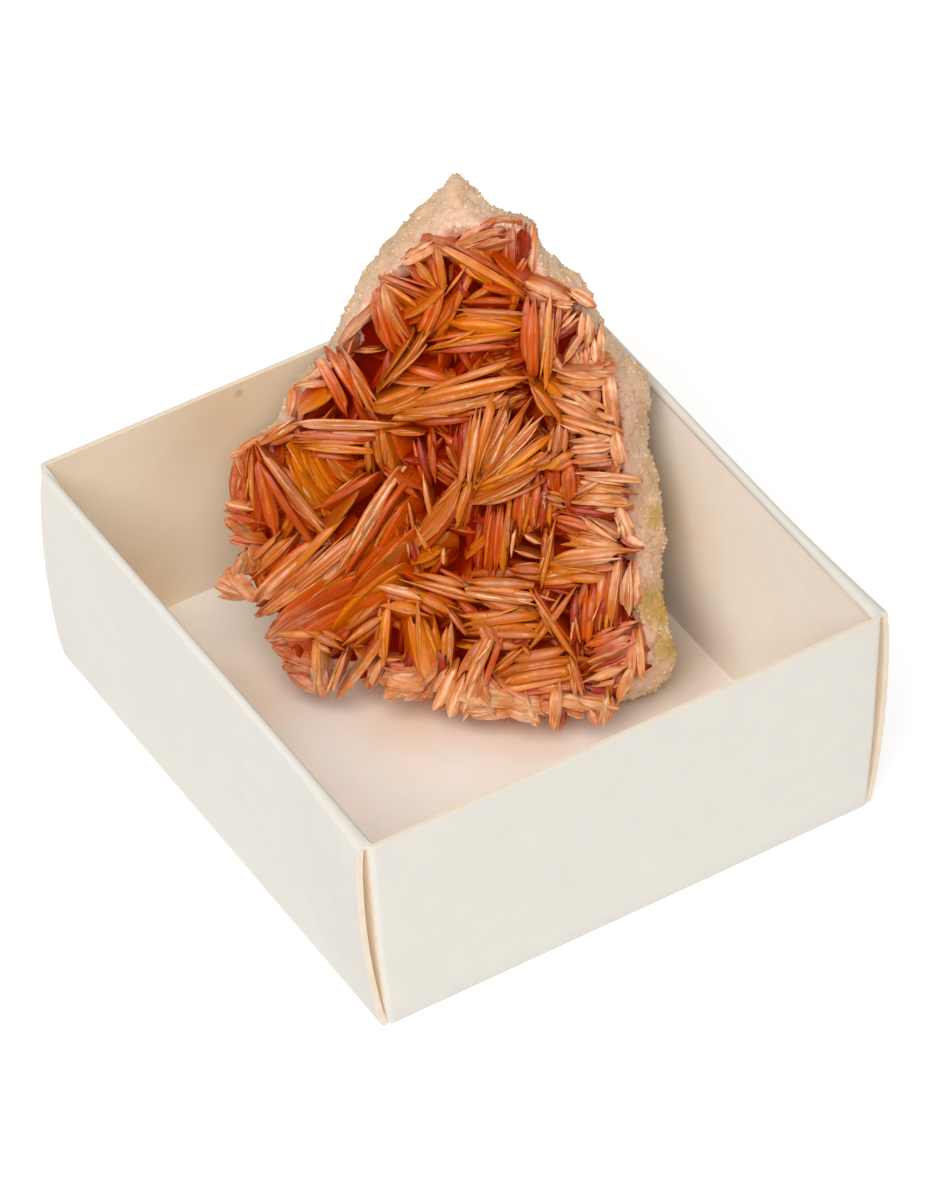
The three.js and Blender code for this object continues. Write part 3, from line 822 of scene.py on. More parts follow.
# %% [markdown]
# ## Barite
#
# Barite grows here as thin flat crystals, blades, that stand on edge and run through one
# another. Their faces are smooth, waxy to glassy, and let light in, so thin ones glow amber
# and deep gaps burn red-brown. Their rims and many tips carry a pale, frosted skin. Each
# blade stores what its place on the crystal is: how near the rim, how deep, and which of
# five tones it has. The material turns that into colour. Part of that colour is painted
# light: the deeper a point lies, the darker and redder it is painted, a painted shade, and
# the more it glows with a faint painted red light from emission. The pale crests are the
# frosted skin and partly a painted highlight, and white specks on them are painted glints.

# %% Barite material
DEEP_RED, ORANGE, AMBER, FROSTED, TAN = range(5)
TONES = [
    (DEEP_RED, from_srgb(172, 50, 1)),
    (ORANGE, from_srgb(206, 88, 2)),
    (AMBER, from_srgb(220, 124, 4)),
    (FROSTED, from_srgb(214, 124, 54)),
    (TAN, from_srgb(206, 112, 22)),
]
RIM_SHARE = [(0, grey(0.08)), (0.25, grey(0.28)), (0.5, grey(0.28)), (0.75, grey(0.9)), (1, grey(0.6))]
# Pale colours of the crests: the frosted skin, and partly a painted highlight along the front edges.
RIM_FROST_AND_HIGHLIGHT_TONES = [
    (DEEP_RED, from_srgb(226, 140, 66)),
    (ORANGE, from_srgb(240, 176, 84)),
    (AMBER, from_srgb(238, 180, 70)),
    (FROSTED, from_srgb(250, 212, 174)),
    (TAN, from_srgb(238, 186, 112)),
]
# White of the painted glints, specks on the frosted crests.
PAINTED_GLINT_WHITE = from_srgb(252, 222, 202)
EDGE_FROST = from_srgb(248, 196, 156)
# Deep places: their colour is multiplied by the first, a painted shade, and they glow with the second, a
# painted red glow from emission.
DEEP_SHADE = (0.6, 0.1, 0.015)
DEEP_PAINTED_GLOW = (0.42, 0.03, 0.002)


def barite_material():
    material, tree, shader = new_material("orange_barite")
    look = add_node(tree, "ShaderNodeAttribute")
    look.attribute_name = "look"
    parts = add_node(tree, "ShaderNodeSeparateColor", {"Color": look.outputs["Color"]})
    tone, crest, deep = (parts.outputs[name] for name in ("Red", "Green", "Blue"))
    rim = ramp(tree, crest, [(0.45, grey(0)), (1.0, grey(1))])
    chance = look.outputs["Alpha"]
    base = ramp(tree, tone, [(index / 4, colour) for index, colour in TONES])
    grain = add_node(tree, "ShaderNodeAttribute")
    grain.attribute_name = "grain"
    stretch = add_node(tree, "ShaderNodeMapping", {"Vector": grain.outputs["Vector"]})
    stretch.inputs["Scale"].default_value = (0.2, 2.4, 1)
    streaks = noise_node(tree, stretch.outputs["Vector"], 1.1, 4, 0.6)
    shade = ramp(tree, streaks.outputs["Fac"], [(0.3, (0.76, 0.62, 0.5)), (0.7, (1.12, 1.12, 1.08))])
    base = mix(tree, 1, base, shade, "MULTIPLY")
    lot = ramp(tree, chance, [(0.0, (0.8, 0.66, 0.56)), (1.0, (1.1, 1.12, 1.08))])
    base = mix(tree, 1, base, lot, "MULTIPLY")
    # Painted shade: the deeper a point lies, the darker and redder its colour; less so on frosted tones.
    pale = ramp(tree, tone, [(0.5, grey(1)), (0.75, grey(0.45)), (1, grey(0.8))])
    base = mix(tree, maths(tree, "MULTIPLY", deep, pale), base, mix(tree, 1, base, DEEP_SHADE, "MULTIPLY"))
    place = tree.nodes.new("ShaderNodeTexCoord").outputs["Object"]
    patches = noise_node(tree, place, 330, 4, 0.65)
    edge = add_node(tree, "ShaderNodeAttribute")
    edge.attribute_name = "frost"
    skin = ramp(tree, patches.outputs["Fac"], [(0.38, grey(0.2)), (0.62, grey(1))])
    streaked = ramp(tree, streaks.outputs["Fac"], [(0.36, grey(0.3)), (0.6, grey(1))])
    skin = mix(tree, 1, skin, streaked, "MULTIPLY")
    skin = maths(tree, "MULTIPLY", skin, ramp(tree, tone, [(0, grey(0.08)), (0.25, grey(1))]))
    base = mix(tree, maths(tree, "MULTIPLY", edge.outputs["Fac"], skin), base, EDGE_FROST)
    frost = ramp(tree, streaks.outputs["Fac"], [(0.4, grey(0.1)), (0.66, grey(1))])
    frost = maths(tree, "MULTIPLY", frost, ramp(tree, tone, RIM_SHARE))
    frost = maths(tree, "MULTIPLY", frost, ramp(tree, chance, [(0.1, grey(0.4)), (0.8, grey(1.2))]))
    # The pale crest colour: frosted skin, and partly a painted highlight.
    pale_rim_and_highlight = ramp(tree, tone, [(index / 4, colour) for index, colour in RIM_FROST_AND_HIGHLIGHT_TONES])
    base = mix(tree, maths(tree, "MULTIPLY", rim, frost), base, pale_rim_and_highlight)
    # Painted glints: white specks on the frosted crests.
    specks = noise_node(tree, place, 1100, 2, 0.5)
    painted_glint = ramp(tree, specks.outputs["Fac"], [(0.55, grey(0)), (0.65, grey(0.9))])
    painted_glint = maths(tree, "MULTIPLY", painted_glint, maths(tree, "MULTIPLY", rim, frost), clamp=True)
    base = mix(tree, painted_glint, base, PAINTED_GLINT_WHITE)
    tree.links.new(base, shader.inputs["Base Color"])
    rough = ramp(tree, streaks.outputs["Fac"], [(0.3, grey(0.42)), (0.7, grey(0.24))])
    tree.links.new(rough, shader.inputs["Roughness"])
    shader.inputs["IOR"].default_value = 1.5
    gloss = ramp(tree, deep, [(0.0, grey(0.2)), (0.5, grey(0.0))])
    gloss = maths(tree, "ADD", gloss, maths(tree, "MULTIPLY", rim, 0.25))
    tree.links.new(gloss, shader.inputs["Specular IOR Level"])
    shader.inputs["Subsurface Weight"].default_value = 0.35
    shader.inputs["Subsurface Radius"].default_value = (1.0, 0.28, 0.07)
    shader.inputs["Subsurface Scale"].default_value = 0.0008
    # Painted glow: deep places emit a faint red light, though they are no lamp.
    tree.links.new(mix(tree, deep, grey(0), DEEP_PAINTED_GLOW), shader.inputs["Emission Color"])
    shader.inputs["Emission Strength"].default_value = 0.07
    bump(tree, shader, streaks.outputs["Fac"], 0.35, 0.00012)
    return material


orange_barite = barite_material()
print("barite material ready")

# %% [markdown]
# ## One sheaf
#
# Blades rarely stand alone: two to seven of them lie flat on one another and have grown
# together, so a sheaf reads as one spindle with sharp ends and a ribbed front. Modelling it
# as loose sheets would give too many gaps, so it is one closed tube: a ring of corners runs
# over the ribs of its front and down its two flanks. The tube comes from a cone operator
# with equal ends, cut into steps along its length. Each corner of the template remembers
# its step and its number around the ring.

# %% Sheaf template
STEPS_ALONG = 12
FLANK_DEPTHS = (0.35, 1.5)
FLANK_CORNERS = 2 * len(FLANK_DEPTHS) + 2
MOST_RIBS = 4
RIBS_PER_BLADE = 0.7


def corners_around(ribs):
    return 2 * ribs + 1 + FLANK_CORNERS


def sheaf_template(ribs):
    bm = bmesh.new()
    around = corners_around(ribs)
    bmesh.ops.create_cone(bm, cap_ends=True, segments=around, radius1=1, radius2=1, depth=1)
    lengthwise = [edge for edge in bm.edges if abs(edge.verts[0].co.z - edge.verts[1].co.z) > 0.5]
    bmesh.ops.subdivide_edges(bm, edges=lengthwise, cuts=STEPS_ALONG - 1, use_grid_fill=True)
    for vert in bm.verts:
        turn = -math.atan2(vert.co.y, vert.co.x) / math.tau
        vert.co = (vert.co.z + 0.5, round(turn * around) % around, 0)
    bm.verts.layers.float_color.new("look")
    bm.verts.layers.float_vector.new("grain")
    bm.verts.layers.float.new("frost")
    mesh = bpy.data.meshes.new(f"sheaf of {ribs}")
    bm.to_mesh(mesh)
    bm.free()
    return mesh


templates = {ribs: sheaf_template(ribs) for ribs in range(1, MOST_RIBS + 1)}
print("sheaf templates:", {ribs: len(mesh.polygons) for ribs, mesh in templates.items()})


# %% [markdown]
# Placing a sheaf bends its template. Along its length the sheaf swells from a narrow end to
# its full thickness and back, its front bows inwards to the tips, and each end is cut at its
# own slant like a chisel.
# Across its front every rib is the edge of one blade, which starts and stops at its own
# place and stands a little higher or lower than the next.


# %% Placing a sheaf
GROOVE = 0.14
RIB_STEP = 0.3
RIB_WIDTHS = (0.4, 1.6)
RIB_END_SLOPE = 0.5
RAGGED = 0.05
BEND = 0.012
CHISEL = 1.1
EDGE_CHISEL = 0.35
END_WIDTHS = (0.05, 0.12, 0.25, 0.55)
FULLNESS = (1.4, 2, 3, 5)
FROST_WIDTHS = [(-180, 1.5), (-125, 4), (-60, 6), (0, 7), (60, 6.5), (85, 3.5), (115, 2), (180, 1.5)]
# Depths below the face where the painted deep shade starts and where it is full.
DEEP_STARTS = -0.3
DEEPEST = 3.4


def swelling(s, middle, ends):
    """Share of full thickness at a place along the sheaf; each end has its width and fullness."""
    t = (s - middle) / (1 - middle) if s > middle else 1 - s / middle
    width, fullness = ends[s > middle]
    return width + (1 - width) * (1 - t**fullness)


def make_ribs(ribs, rng):
    """For each blade edge: where it starts and stops, how deep it stands, and its luck."""
    leader = rng.randrange(ribs)
    rows = []
    for rib in range(ribs):
        if rib == leader:
            rows.append((-0.02, 1.02, 0, rng.random()))
        else:
            rows.append(
                (rng.uniform(0, 0.28), 1 - rng.uniform(0, 0.28), rng.uniform(0, RIB_STEP), rng.random())
            )
    return rows


def rib_places(ribs, rng):
    """Where the corners of the front lie across the sheaf, from -1 to 1, for ribs of uneven width."""
    places = [0]
    for _ in range(ribs):
        width = rng.uniform(*RIB_WIDTHS)
        places += [places[-1] + width / 2, places[-1] + width]
    return [2 * place / places[-1] - 1 for place in places]


def rib_drop(row, s, length):
    begin, end, step, _ = row
    past = max(begin - s, s - end, 0) * length
    return step + RIB_END_SLOPE * past


def frost_width(across, up):
    """Width of the frosted fringe of the field, which differs with the direction."""
    turn = math.degrees(math.atan2(up - HEART[1], across - HEART[0]))
    for (low, first), (high, second) in zip(FROST_WIDTHS, FROST_WIDTHS[1:]):
        if turn <= high:
            return first + (second - first) * (turn - low) / (high - low)
    return FROST_WIDTHS[-1][1]


def frost_at(point):
    """How frosted the crystals are at a place: most at the right, the top and the foot."""
    across, up, _ = seen_place(point)
    from_edge = -beyond_field(across, up)
    return max(0, min(1, 1.15 - from_edge / frost_width(across, up)))


def chisel_at(point):
    """How slanting an end may be cut; less at the edge of the field, so that it stays in shape."""
    across, up, _ = seen_place(point)
    return EDGE_CHISEL if beyond_field(across, up) > -1.5 else CHISEL


def add_sheaf(bm, start, end, inward, thick, breadth, ribs, tone, rng):
    frosts = (frost_at(start), frost_at((start + end) / 2), frost_at(end))
    along = end - start
    length = along.length
    along.normalize()
    across = along.cross(inward).normalized()
    around = corners_around(ribs)
    front = 2 * ribs + 1
    middle = rng.uniform(0.3, 0.7)
    ends = [(rng.choice(END_WIDTHS), rng.choice(FULLNESS)) for _ in range(2)]
    chisels = [rng.uniform(-1, 1) * chisel_at(point) * thick for point in (start, end)]
    tip = rng.uniform(0.04, 0.14) * length
    bow = rng.uniform(-BEND, BEND) * length
    rows = make_ribs(ribs, rng)
    rib_sides = rib_places(ribs, rng)
    seed = rng.uniform(0, 50)
    before = len(bm.verts)
    bm.from_mesh(templates[ribs])
    bm.verts.ensure_lookup_table()
    look = bm.verts.layers.float_color["look"]
    grain = bm.verts.layers.float_vector["grain"]
    frost = bm.verts.layers.float["frost"]
    for vert in bm.verts[before:]:
        s, corner = vert.co.x, round(vert.co.y)
        half = min(1, int(2 * s))
        vert[frost] = frosts[half] + (frosts[half + 1] - frosts[half]) * (2 * s - half)
        swell = swelling(s, middle, ends)
        ragged = rng.uniform(-RAGGED, RAGGED)
        arch = tip * abs(2 * s - 1) ** 2.5
        if corner < front:
            side = rib_sides[corner]
            left, right = rows[max(0, (corner - 1) // 2)], rows[min(ribs - 1, corner // 2)]
            on_rib = corner % 2
            drop = max(rib_drop(left, s, length), rib_drop(right, s, length))
            depth = drop + (0 if on_rib else GROOVE * thick / ribs) + ragged
            rim = 1.0 if on_rib else 0.1
            chance = (left[3] + right[3]) / 2
        else:
            down = corner - front
            far_side = down >= FLANK_CORNERS // 2
            level = FLANK_CORNERS - 1 - down if far_side else down
            side = -1 if far_side else 1
            edge_row = rows[0] if far_side else rows[-1]
            bottom = level == len(FLANK_DEPTHS)
            depth = breadth * (1 - 0.4 * abs(2 * s - 1) ** 2) if bottom else FLANK_DEPTHS[level]
            side *= 0.6 if bottom else 1 - 0.03 * level
            depth += 0 if bottom else rib_drop(edge_row, s, length) * (1 - 0.4 * level)
            rim = (0.3, 0, 0)[level]
            chance = edge_row[3]
        cut = chisels[s > 0.5] * side * abs(2 * s - 1) ** 5
        place = start + along * (s * length + cut) + inward * (depth + arch)
        vert.co = place + across * (side * thick / 2 * swell + bow * 4 * s * (1 - s))
        vert.co.z = min(vert.co.z, TOP_CLEAR)
        # How deep a point lies below the face, which sets its painted shade and glow.
        out = (vert.co - FACE_FOOT).dot(OUT_OF_FACE)
        deep = max(0, min(1, (DEEP_STARTS - out) / DEEPEST))
        vert[look] = (tone / 4, rim, deep, chance)
        vert[grain] = (s * length, side * thick / 2 + depth, seed)


print("sheaves swell, bow and taper")

# %% [markdown]
# ## Where the sheaves stand
#
# Each row below is one sheaf of the real specimen, found on the photograph and grouped
# from the top down: where its front edge starts and ends (U, V), how thick the sheaf is, how
# broad it is into the rock, how far its edge stands out of the face, its lean in degrees
# (0 is edge on, above 0 it falls away to the left of its edge), how many blades it has, and
# the tone.

# %% Table of sheaves
SHEAVES = [
    # top
    (-2.1, 58.1, -0.1, 59.6, 0.7, 3, -2.8, -30, 2, 3),
    (-0.6, 59.5, 2.6, 59.9, 0.7, 3, -3, -30, 2, 3), (-4, 56.2, 0.4, 58.2, 0.9, 3, -1.4, -25, 2, 4),
    (-2.4, 55.8, 0.9, 57.2, 0.8, 3, -0.7, -25, 2, 1), (1.7, 58.7, 1.9, 52.4, 1.3, 4, -2, 0, 3, 1),
    (3.1, 58.5, 3, 52.6, 0.8, 4, -2, 0, 2, 2), (4.2, 58.9, 4.4, 53.8, 1.2, 4, -2.3, 10, 2, 3),
    (-5.3, 55.4, 3.9, 51.2, 0.9, 5, 0.3, -25, 3, 2), (-3.6, 54.8, -0.2, 52.6, 1.3, 4, -0.2, -30, 2, 4),
    (0, 54.4, 3.9, 51.9, 0.5, 4, -0.1, 20, 2, 1), (3.4, 52.4, 8.9, 50.6, 1.2, 4, -0.4, 20, 2, 3),
    (4.3, 51.3, 6.4, 50.5, 0.5, 3, -0.3, 0, 1, 1), (-6.4, 55.3, -5.2, 50.4, 0.8, 4, 0, -20, 2, 2),
    (-10.2, 53, -6.8, 55.2, 0.8, 4, -0.6, 30, 2, 4), (-9.6, 52.2, -6.4, 50.1, 0.5, 4, -0.5, 25, 2, 1),
    (-8.6, 53.4, -6.1, 50.5, 0.6, 4, -0.4, -20, 2, 2), (-7.1, 53.8, -6.2, 51.3, 0.5, 3, -0.5, 0, 2, 1),
    (-5.1, 50.1, -3.1, 53.4, 0.35, 4, 0.1, 0, 1, 4), (-4.2, 50.2, -2.6, 53.8, 0.8, 4, -1.2, 30, 2, 0),
    (-2.4, 49.8, -0.5, 51.2, 0.7, 4, -0.8, -25, 2, 2), (-0.8, 51.2, 3.2, 50.8, 0.7, 4, -0.6, 25, 2, 1),
    (-12.6, 51.6, -6.2, 49.6, 0.5, 4, 0, -25, 2, 1), (-11.9, 50.6, -8, 48.3, 0.5, 4, 0, -30, 1, 2),
    (-9.1, 46.5, -5.2, 50.2, 0.7, 4, 0, 35, 2, 4),
    # upper middle
    (-11.4, 38.3, -6.9, 44.9, 0.6, 5, 0.9, 15, 1, 4), (-7.1, 44.6, -5.4, 49.6, 0.8, 5, 0.2, 20, 2, 1),
    (-6.2, 45, -3.8, 49.6, 0.9, 4, -0.4, 25, 2, 1), (-4.4, 46.9, 4.3, 47.7, 2.6, 5, 0.1, 0, 7, 2),
    (-3.5, 48.4, 4.2, 48.8, 0.5, 4, 0.3, -15, 2, 3), (-7.4, 43.5, 2.6, 46.2, 0.9, 5, 0.7, -20, 3, 2),
    (-2.9, 49.6, 2.8, 50.2, 0.7, 4, -0.8, -30, 2, 1), (4.8, 50.7, 5.6, 40.6, 1.3, 6, 0.8, 0, 3, 1),
    (6.8, 50.9, 7.2, 40.7, 0.7, 6, 0.6, 0, 2, 2), (8, 50.4, 7.9, 46, 0.6, 5, -0.4, 0, 2, 1),
    (-3.8, 40.3, 0.1, 45.2, 0.9, 4, -1.8, -35, 2, 0), (-0.4, 41.3, 3.7, 42.3, 0.4, 3, -1.6, 0, 1, 4),
    (-0.2, 42.3, 3.2, 43.6, 0.4, 3, -1.6, 0, 1, 4), (-9.1, 41.3, -3.6, 40.2, 0.9, 4, -0.4, -20, 2, 1),
    (-10.9, 38.9, -3.2, 39.6, 0.5, 4, -0.2, 20, 2, 3), (-9, 36.6, 4.2, 41, 1.5, 6, 0.9, -10, 3, 4),
    (-9.8, 34.9, 0.4, 37.9, 1, 6, 0.6, 0, 2, 4), (-7.2, 35.5, 2, 38.6, 0.9, 5, 0.1, -20, 2, 1),
    (-12.4, 35.2, -6.2, 37.6, 1.2, 5, 0.2, 20, 2, 4), (1.2, 38.1, 2.4, 39.2, 0.5, 3, 0.2, 0, 1, 3),
    (1, 37.2, 4.6, 39.2, 0.6, 4, -0.2, 0, 2, 4), (5.2, 40.6, 8.4, 36.8, 1.7, 5, 0.5, 15, 3, 4),
    # upper left
    (-17.8, 42.2, -13.4, 36, 1.2, 5, 0, -20, 3, 1), (-16.3, 42.6, -12.3, 36.6, 0.9, 5, 0.1, -25, 2, 1),
    (-18.8, 40.8, -15.3, 35.3, 1.2, 5, -0.2, -20, 3, 1),
    (-15.3, 39.8, -12.6, 35.4, 0.5, 4, 0.4, 0, 1, 4),
    (-20.6, 38.4, -17.6, 40.6, 0.9, 4, -0.9, 30, 2, 3),
    (-22.2, 34.2, -21.9, 37.4, 1, 4, -1.6, 20, 2, 2), (-21.6, 37.9, -18, 38.3, 0.9, 4, -1, 10, 2, 1),
    (-20.5, 34.2, -17.1, 37, 0.8, 4, -0.2, 30, 2, 2),
    (-14.8, 42.3, -11.8, 42.7, 0.35, 3, -0.4, 0, 1, 3),
    (-16.7, 43, -13.2, 47.4, 0.8, 4, -0.9, 20, 2, 3),
    (-13.9, 48.9, -11.2, 42.3, 1.3, 4, 0.2, 28, 3, 1),
    (-12.6, 49.4, -9.4, 43.6, 1.1, 4, 0.2, 20, 3, 2),
    (-10.9, 43.2, -11.9, 38.6, 0.6, 5, -0.8, 0, 1, 0), (-11.8, 47.8, -8.7, 43, 0.5, 4, 0.1, 0, 2, 1),
    # left
    (-21, 33.3, -10.4, 34.2, 1.1, 5, 0.5, -15, 3, 3), (-20.6, 32.2, -12.2, 32.5, 0.9, 5, 0, -20, 2, 1),
    (-20.6, 30.7, -12.4, 31, 0.9, 5, 0.3, -15, 3, 2),
    (-25.4, 30.3, -20.8, 33.4, 0.9, 4, -1.2, 35, 2, 2),
    (-11.6, 33.6, -9.8, 28.6, 1.2, 5, 0.3, 20, 2, 4), (-10.4, 33.4, -6.4, 33.5, 0.6, 4, 0.1, 0, 2, 2),
    (-12.9, 32.4, -12.2, 28.2, 0.7, 4, -0.3, 0, 2, 4), (-24.8, 29.2, -16.9, 20.6, 1.1, 6, 1, 0, 2, 3),
    (-22.4, 25, -17.4, 20.8, 1, 5, 0, 20, 2, 1), (-22, 30, -17.8, 23.4, 1.1, 5, 0.4, 25, 3, 2),
    (-20.2, 29.8, -16.4, 24.6, 1.1, 5, 0.2, 25, 3, 2),
    (-18.8, 29.4, -15.8, 26, 0.6, 4, -0.2, 30, 2, 1), (-17.4, 29.7, -14.4, 26.8, 0.6, 4, 0, 20, 1, 4),
    (-25.2, 28.9, -22.6, 20.2, 1.2, 5, -0.3, -20, 2, 1),
    (-18.2, 23.7, -12.1, 28, 0.9, 4, 0.7, -30, 2, 1),
    (-16.8, 20.5, -12.6, 26.6, 0.5, 5, 0.6, 30, 1, 4),
    (-28.2, 28.7, -28.4, 23.5, 0.9, 4, -1.2, 0, 2, 1),
    (-27.8, 28.4, -26.9, 26.4, 0.5, 4, -0.5, 0, 1, 3),
    (-26.9, 28.8, -26.6, 23.6, 0.8, 4, -0.8, 0, 2, 1),
    (-26.2, 29.4, -25.4, 22.6, 0.6, 5, -0.3, 0, 1, 4), (-28.9, 23, -25.8, 22.7, 0.8, 4, -0.5, 0, 2, 3),
    (-28.4, 21.6, -24.8, 21.2, 0.9, 4, -0.9, -10, 2, 1),
    (-28.8, 20.8, -25, 18.8, 0.8, 4, -0.8, 0, 2, 2), (-28, 19.2, -24.2, 18.8, 0.6, 4, -1, -30, 2, 1),
    (-28.8, 28.2, -24.9, 31.2, 0.9, 4, -1.6, 30, 2, 3),
    # lower left
    (-29.5, 12.9, -25.6, 12.2, 0.7, 3, -0.9, 5, 2, 3),
    (-29, 14, -26, 12.9, 0.5, 3, -0.6, 0, 1, 3), (-28.6, 11.9, -25.8, 11.9, 0.5, 3, -1.2, 0, 1, 4),
    (-28.4, 14.8, -25.2, 11.6, 0.6, 4, -0.5, 0, 2, 4), (-27.3, 14.2, -26.6, 17, 0.8, 4, -1, 0, 1, 4),
    (-24.9, 15.6, -25.6, 17.9, 0.6, 4, -0.6, 0, 1, 4),
    (-24.6, 15.4, -20.6, 20.2, 1.3, 5, 0.2, -20, 3, 4),
    (-24.4, 12.2, -17, 20.4, 1.3, 6, 0.7, -15, 3, 3), (-23.4, 10.6, -15, 18.4, 1.8, 6, 0.6, -10, 5, 4),
    (-21.4, 12.6, -11.4, 22.6, 1.6, 6, 1.1, -10, 4, 3),
    (-15.4, 16, -9.2, 28.8, 1.3, 6, 1.3, -10, 3, 3), (-13.2, 18.6, -10.3, 25.6, 0.8, 5, 1.2, 0, 2, 3),
    (-22.6, 9.4, -12.8, 16.8, 1.2, 6, 0.5, -55, 3, 1), (-21.4, 8.8, -10.4, 15.9, 1, 6, 0, -50, 2, 1),
    (-15.6, 10.6, -8.6, 18.4, 0.8, 5, 0.3, -40, 2, 2),
    (-13.4, 14.6, -7.6, 22.2, 1.4, 6, 0.4, -45, 3, 1), (-11.4, 19, -8.4, 25.2, 1.2, 5, 0, -40, 2, 1),
    (-21.6, 8.5, -16.6, 9, 0.8, 5, 0.2, -35, 2, 2), (-17.2, 8.9, -13.9, 7.7, 1, 5, 0.5, -20, 2, 4),
    (-14, 7.7, -9.4, 12, 0.9, 5, 0.3, -15, 2, 4), (-13.4, 9.9, -9.6, 13.6, 0.8, 4, -0.4, 0, 2, 4),
    (-17, 8.2, -16.2, 1.6, 1, 5, 0.3, 0, 2, 2), (-17.2, 4.4, -15.8, 1.3, 0.8, 4, 0, 0, 2, 3),
    (-13.5, 6.9, -14.7, 2, 0.7, 5, 0.1, 0, 2, 4), (-14, 1.1, -8.9, 9.3, 0.8, 5, 0.5, 20, 2, 2),
    (-21.9, 6.4, -17.4, 4.9, 0.8, 4, -0.8, -30, 2, 1),
    (-20.6, 4.2, -17.2, 3.9, 0.8, 4, -0.9, -40, 2, 1), (-20, 3.4, -16.8, 1.6, 0.9, 4, -1, -20, 2, 1),
    (-19.4, 7.8, -18.6, 4.9, 0.7, 4, -0.9, 0, 2, 0), (-22.9, 7.4, -20, 8.4, 0.8, 4, -0.6, 30, 2, 2),
    # foot
    (-9, 13.2, -9.1, 6.4, 1, 5, 0.2, 0, 2, 2), (-9.9, 15.4, -5.2, 14.6, 1, 5, 0.3, -20, 2, 3),
    (-8.8, 13.5, -4.6, 12.8, 1.3, 5, 0.1, -30, 2, 2), (-5.4, 14.9, -2.1, 13.7, 1.1, 5, 0.3, -30, 2, 2),
    (-8.4, 17.8, -7.1, 22.4, 0.8, 5, 0, 20, 2, 1), (-7.5, 22.2, -5.6, 18, 0.7, 5, 0, -20, 2, 0),
    (-6.9, 11.9, -7.2, 7.4, 0.5, 4, -2.2, 20, 1, 0), (-5, 13, -3.1, 4.4, 1.9, 6, 0.6, -15, 3, 2),
    (-1.5, 11.8, -1.2, 7, 0.9, 5, 0.2, 0, 2, 4), (-2.7, 9, -1.7, 5, 0.8, 5, -0.4, 0, 2, 0),
    (-5.9, 8.2, -6.2, 4.6, 0.9, 4, -1, 20, 2, 0), (-2.2, 13.7, 0.3, 10.8, 0.4, 4, 0.4, 0, 1, 3),
    (-6.7, 16.4, 1.2, 15, 1.2, 5, 0.5, -20, 3, 4), (0.2, 15.9, 8.6, 15.9, 1.4, 5, 0.3, -20, 3, 3),
    (0.4, 16.9, 7.4, 17.4, 1.2, 5, -0.1, -20, 2, 4), (0.2, 11.8, 9, 14.1, 1, 6, 0.6, -20, 3, 2),
    (0.5, 11.4, 8.4, 12.2, 1.5, 6, 0.5, -25, 3, 4), (1.4, 13.6, 9.2, 13.4, 0.6, 5, -0.3, -20, 2, 0),
    (2.4, 12.3, 3.9, 10.2, 1, 4, 0.9, 0, 2, 3), (3.6, 11.6, 1.2, 4.6, 1.3, 5, 0.9, 0, 3, 3),
    (2.2, 10.2, 0.2, 6, 1.1, 5, 0.6, 0, 2, 3), (2.6, 6.6, 0.8, 0.3, 1.3, 5, 0.5, 0, 3, 3),
    (0.6, 5.2, -0.8, 0.8, 1.1, 5, 0.3, 0, 2, 3), (-0.8, 5.8, -2.4, 1.4, 1.1, 5, 0.2, 0, 2, 3),
    (-8.6, 1.9, -5.8, 3.2, 1, 4, 0.6, -10, 2, 3),
    (-8, 3.4, -4.2, 3.3, 0.8, 4, 0.9, 15, 2, 3), (-6, 1.9, -3.4, 4.4, 0.8, 4, 0.7, 0, 2, 3),
    (-8.4, 3.9, -4, 5, 0.6, 4, 0.4, 0, 1, 3),
    (-4.9, 2.2, -2.6, 3.4, 1.1, 4, 0, 0, 2, 4), (-10.2, 3.6, -9.2, 6.4, 0.8, 4, -0.3, 0, 2, 4),
    (-9.3, 6.6, -7, 6.9, 0.5, 4, -0.7, 0, 2, 3), (-8.6, 5.6, -5.8, 5.4, 1.2, 4, -0.7, -20, 2, 1),
    (1, 2.5, 6.2, 2.6, 0.8, 5, 0.6, 0, 2, 3), (1.3, 1.2, 4.4, 1.8, 0.9, 4, 0.4, 0, 2, 3),
    (3.6, 0.8, 6.6, 1.7, 0.8, 4, 0.2, 0, 2, 3),
    (6, 1.5, 9.8, 1, 0.9, 4, 0.3, 0, 2, 3), (3, 3.4, 4.6, 1, 0.7, 4, 0.8, 0, 2, 3),
    (8.2, 3, 9.4, 0.6, 0.8, 4, 0.6, 0, 2, 3),
    (6.4, 2.4, 10.6, 2.2, 1.1, 5, 0.3, 0, 2, 3), (11.6, 5.6, 11.5, 0.4, 1.4, 5, 0.4, 0, 3, 2),
    (4.4, 6.4, 13.6, 9, 2.2, 5, 0.5, -30, 3, 4), (4.8, 4.6, 14.2, 7.6, 0.9, 5, 0.1, -20, 2, 2),
    (8.6, 5.2, 12.8, 5.6, 0.9, 5, -0.2, 0, 2, 1), (5.2, 4.8, 9.2, 2.9, 0.5, 4, 0.1, 0, 1, 4),
    (3.2, 5.6, 5.4, 3.4, 1.4, 4, -0.5, -30, 2, 1), (4, 6.6, 7.3, 10, 0.5, 4, 0.1, 0, 1, 4),
    (7, 10, 8.7, 8.4, 0.5, 4, 0, 0, 1, 4), (5, 9.8, 8.2, 11.4, 0.5, 4, -0.4, 0, 2, 0),
    # centre
    (-10.3, 28.9, -6.6, 26.9, 0.9, 4, 0.2, 20, 2, 1), (-6, 28.6, -4.8, 24, 0.5, 5, 0.6, 0, 1, 3),
    (-7.5, 25.6, -6.4, 21.6, 0.4, 4, -0.2, 0, 1, 4), (-9.4, 24.4, -8.2, 20.2, 0.9, 5, -0.6, 30, 2, 1),
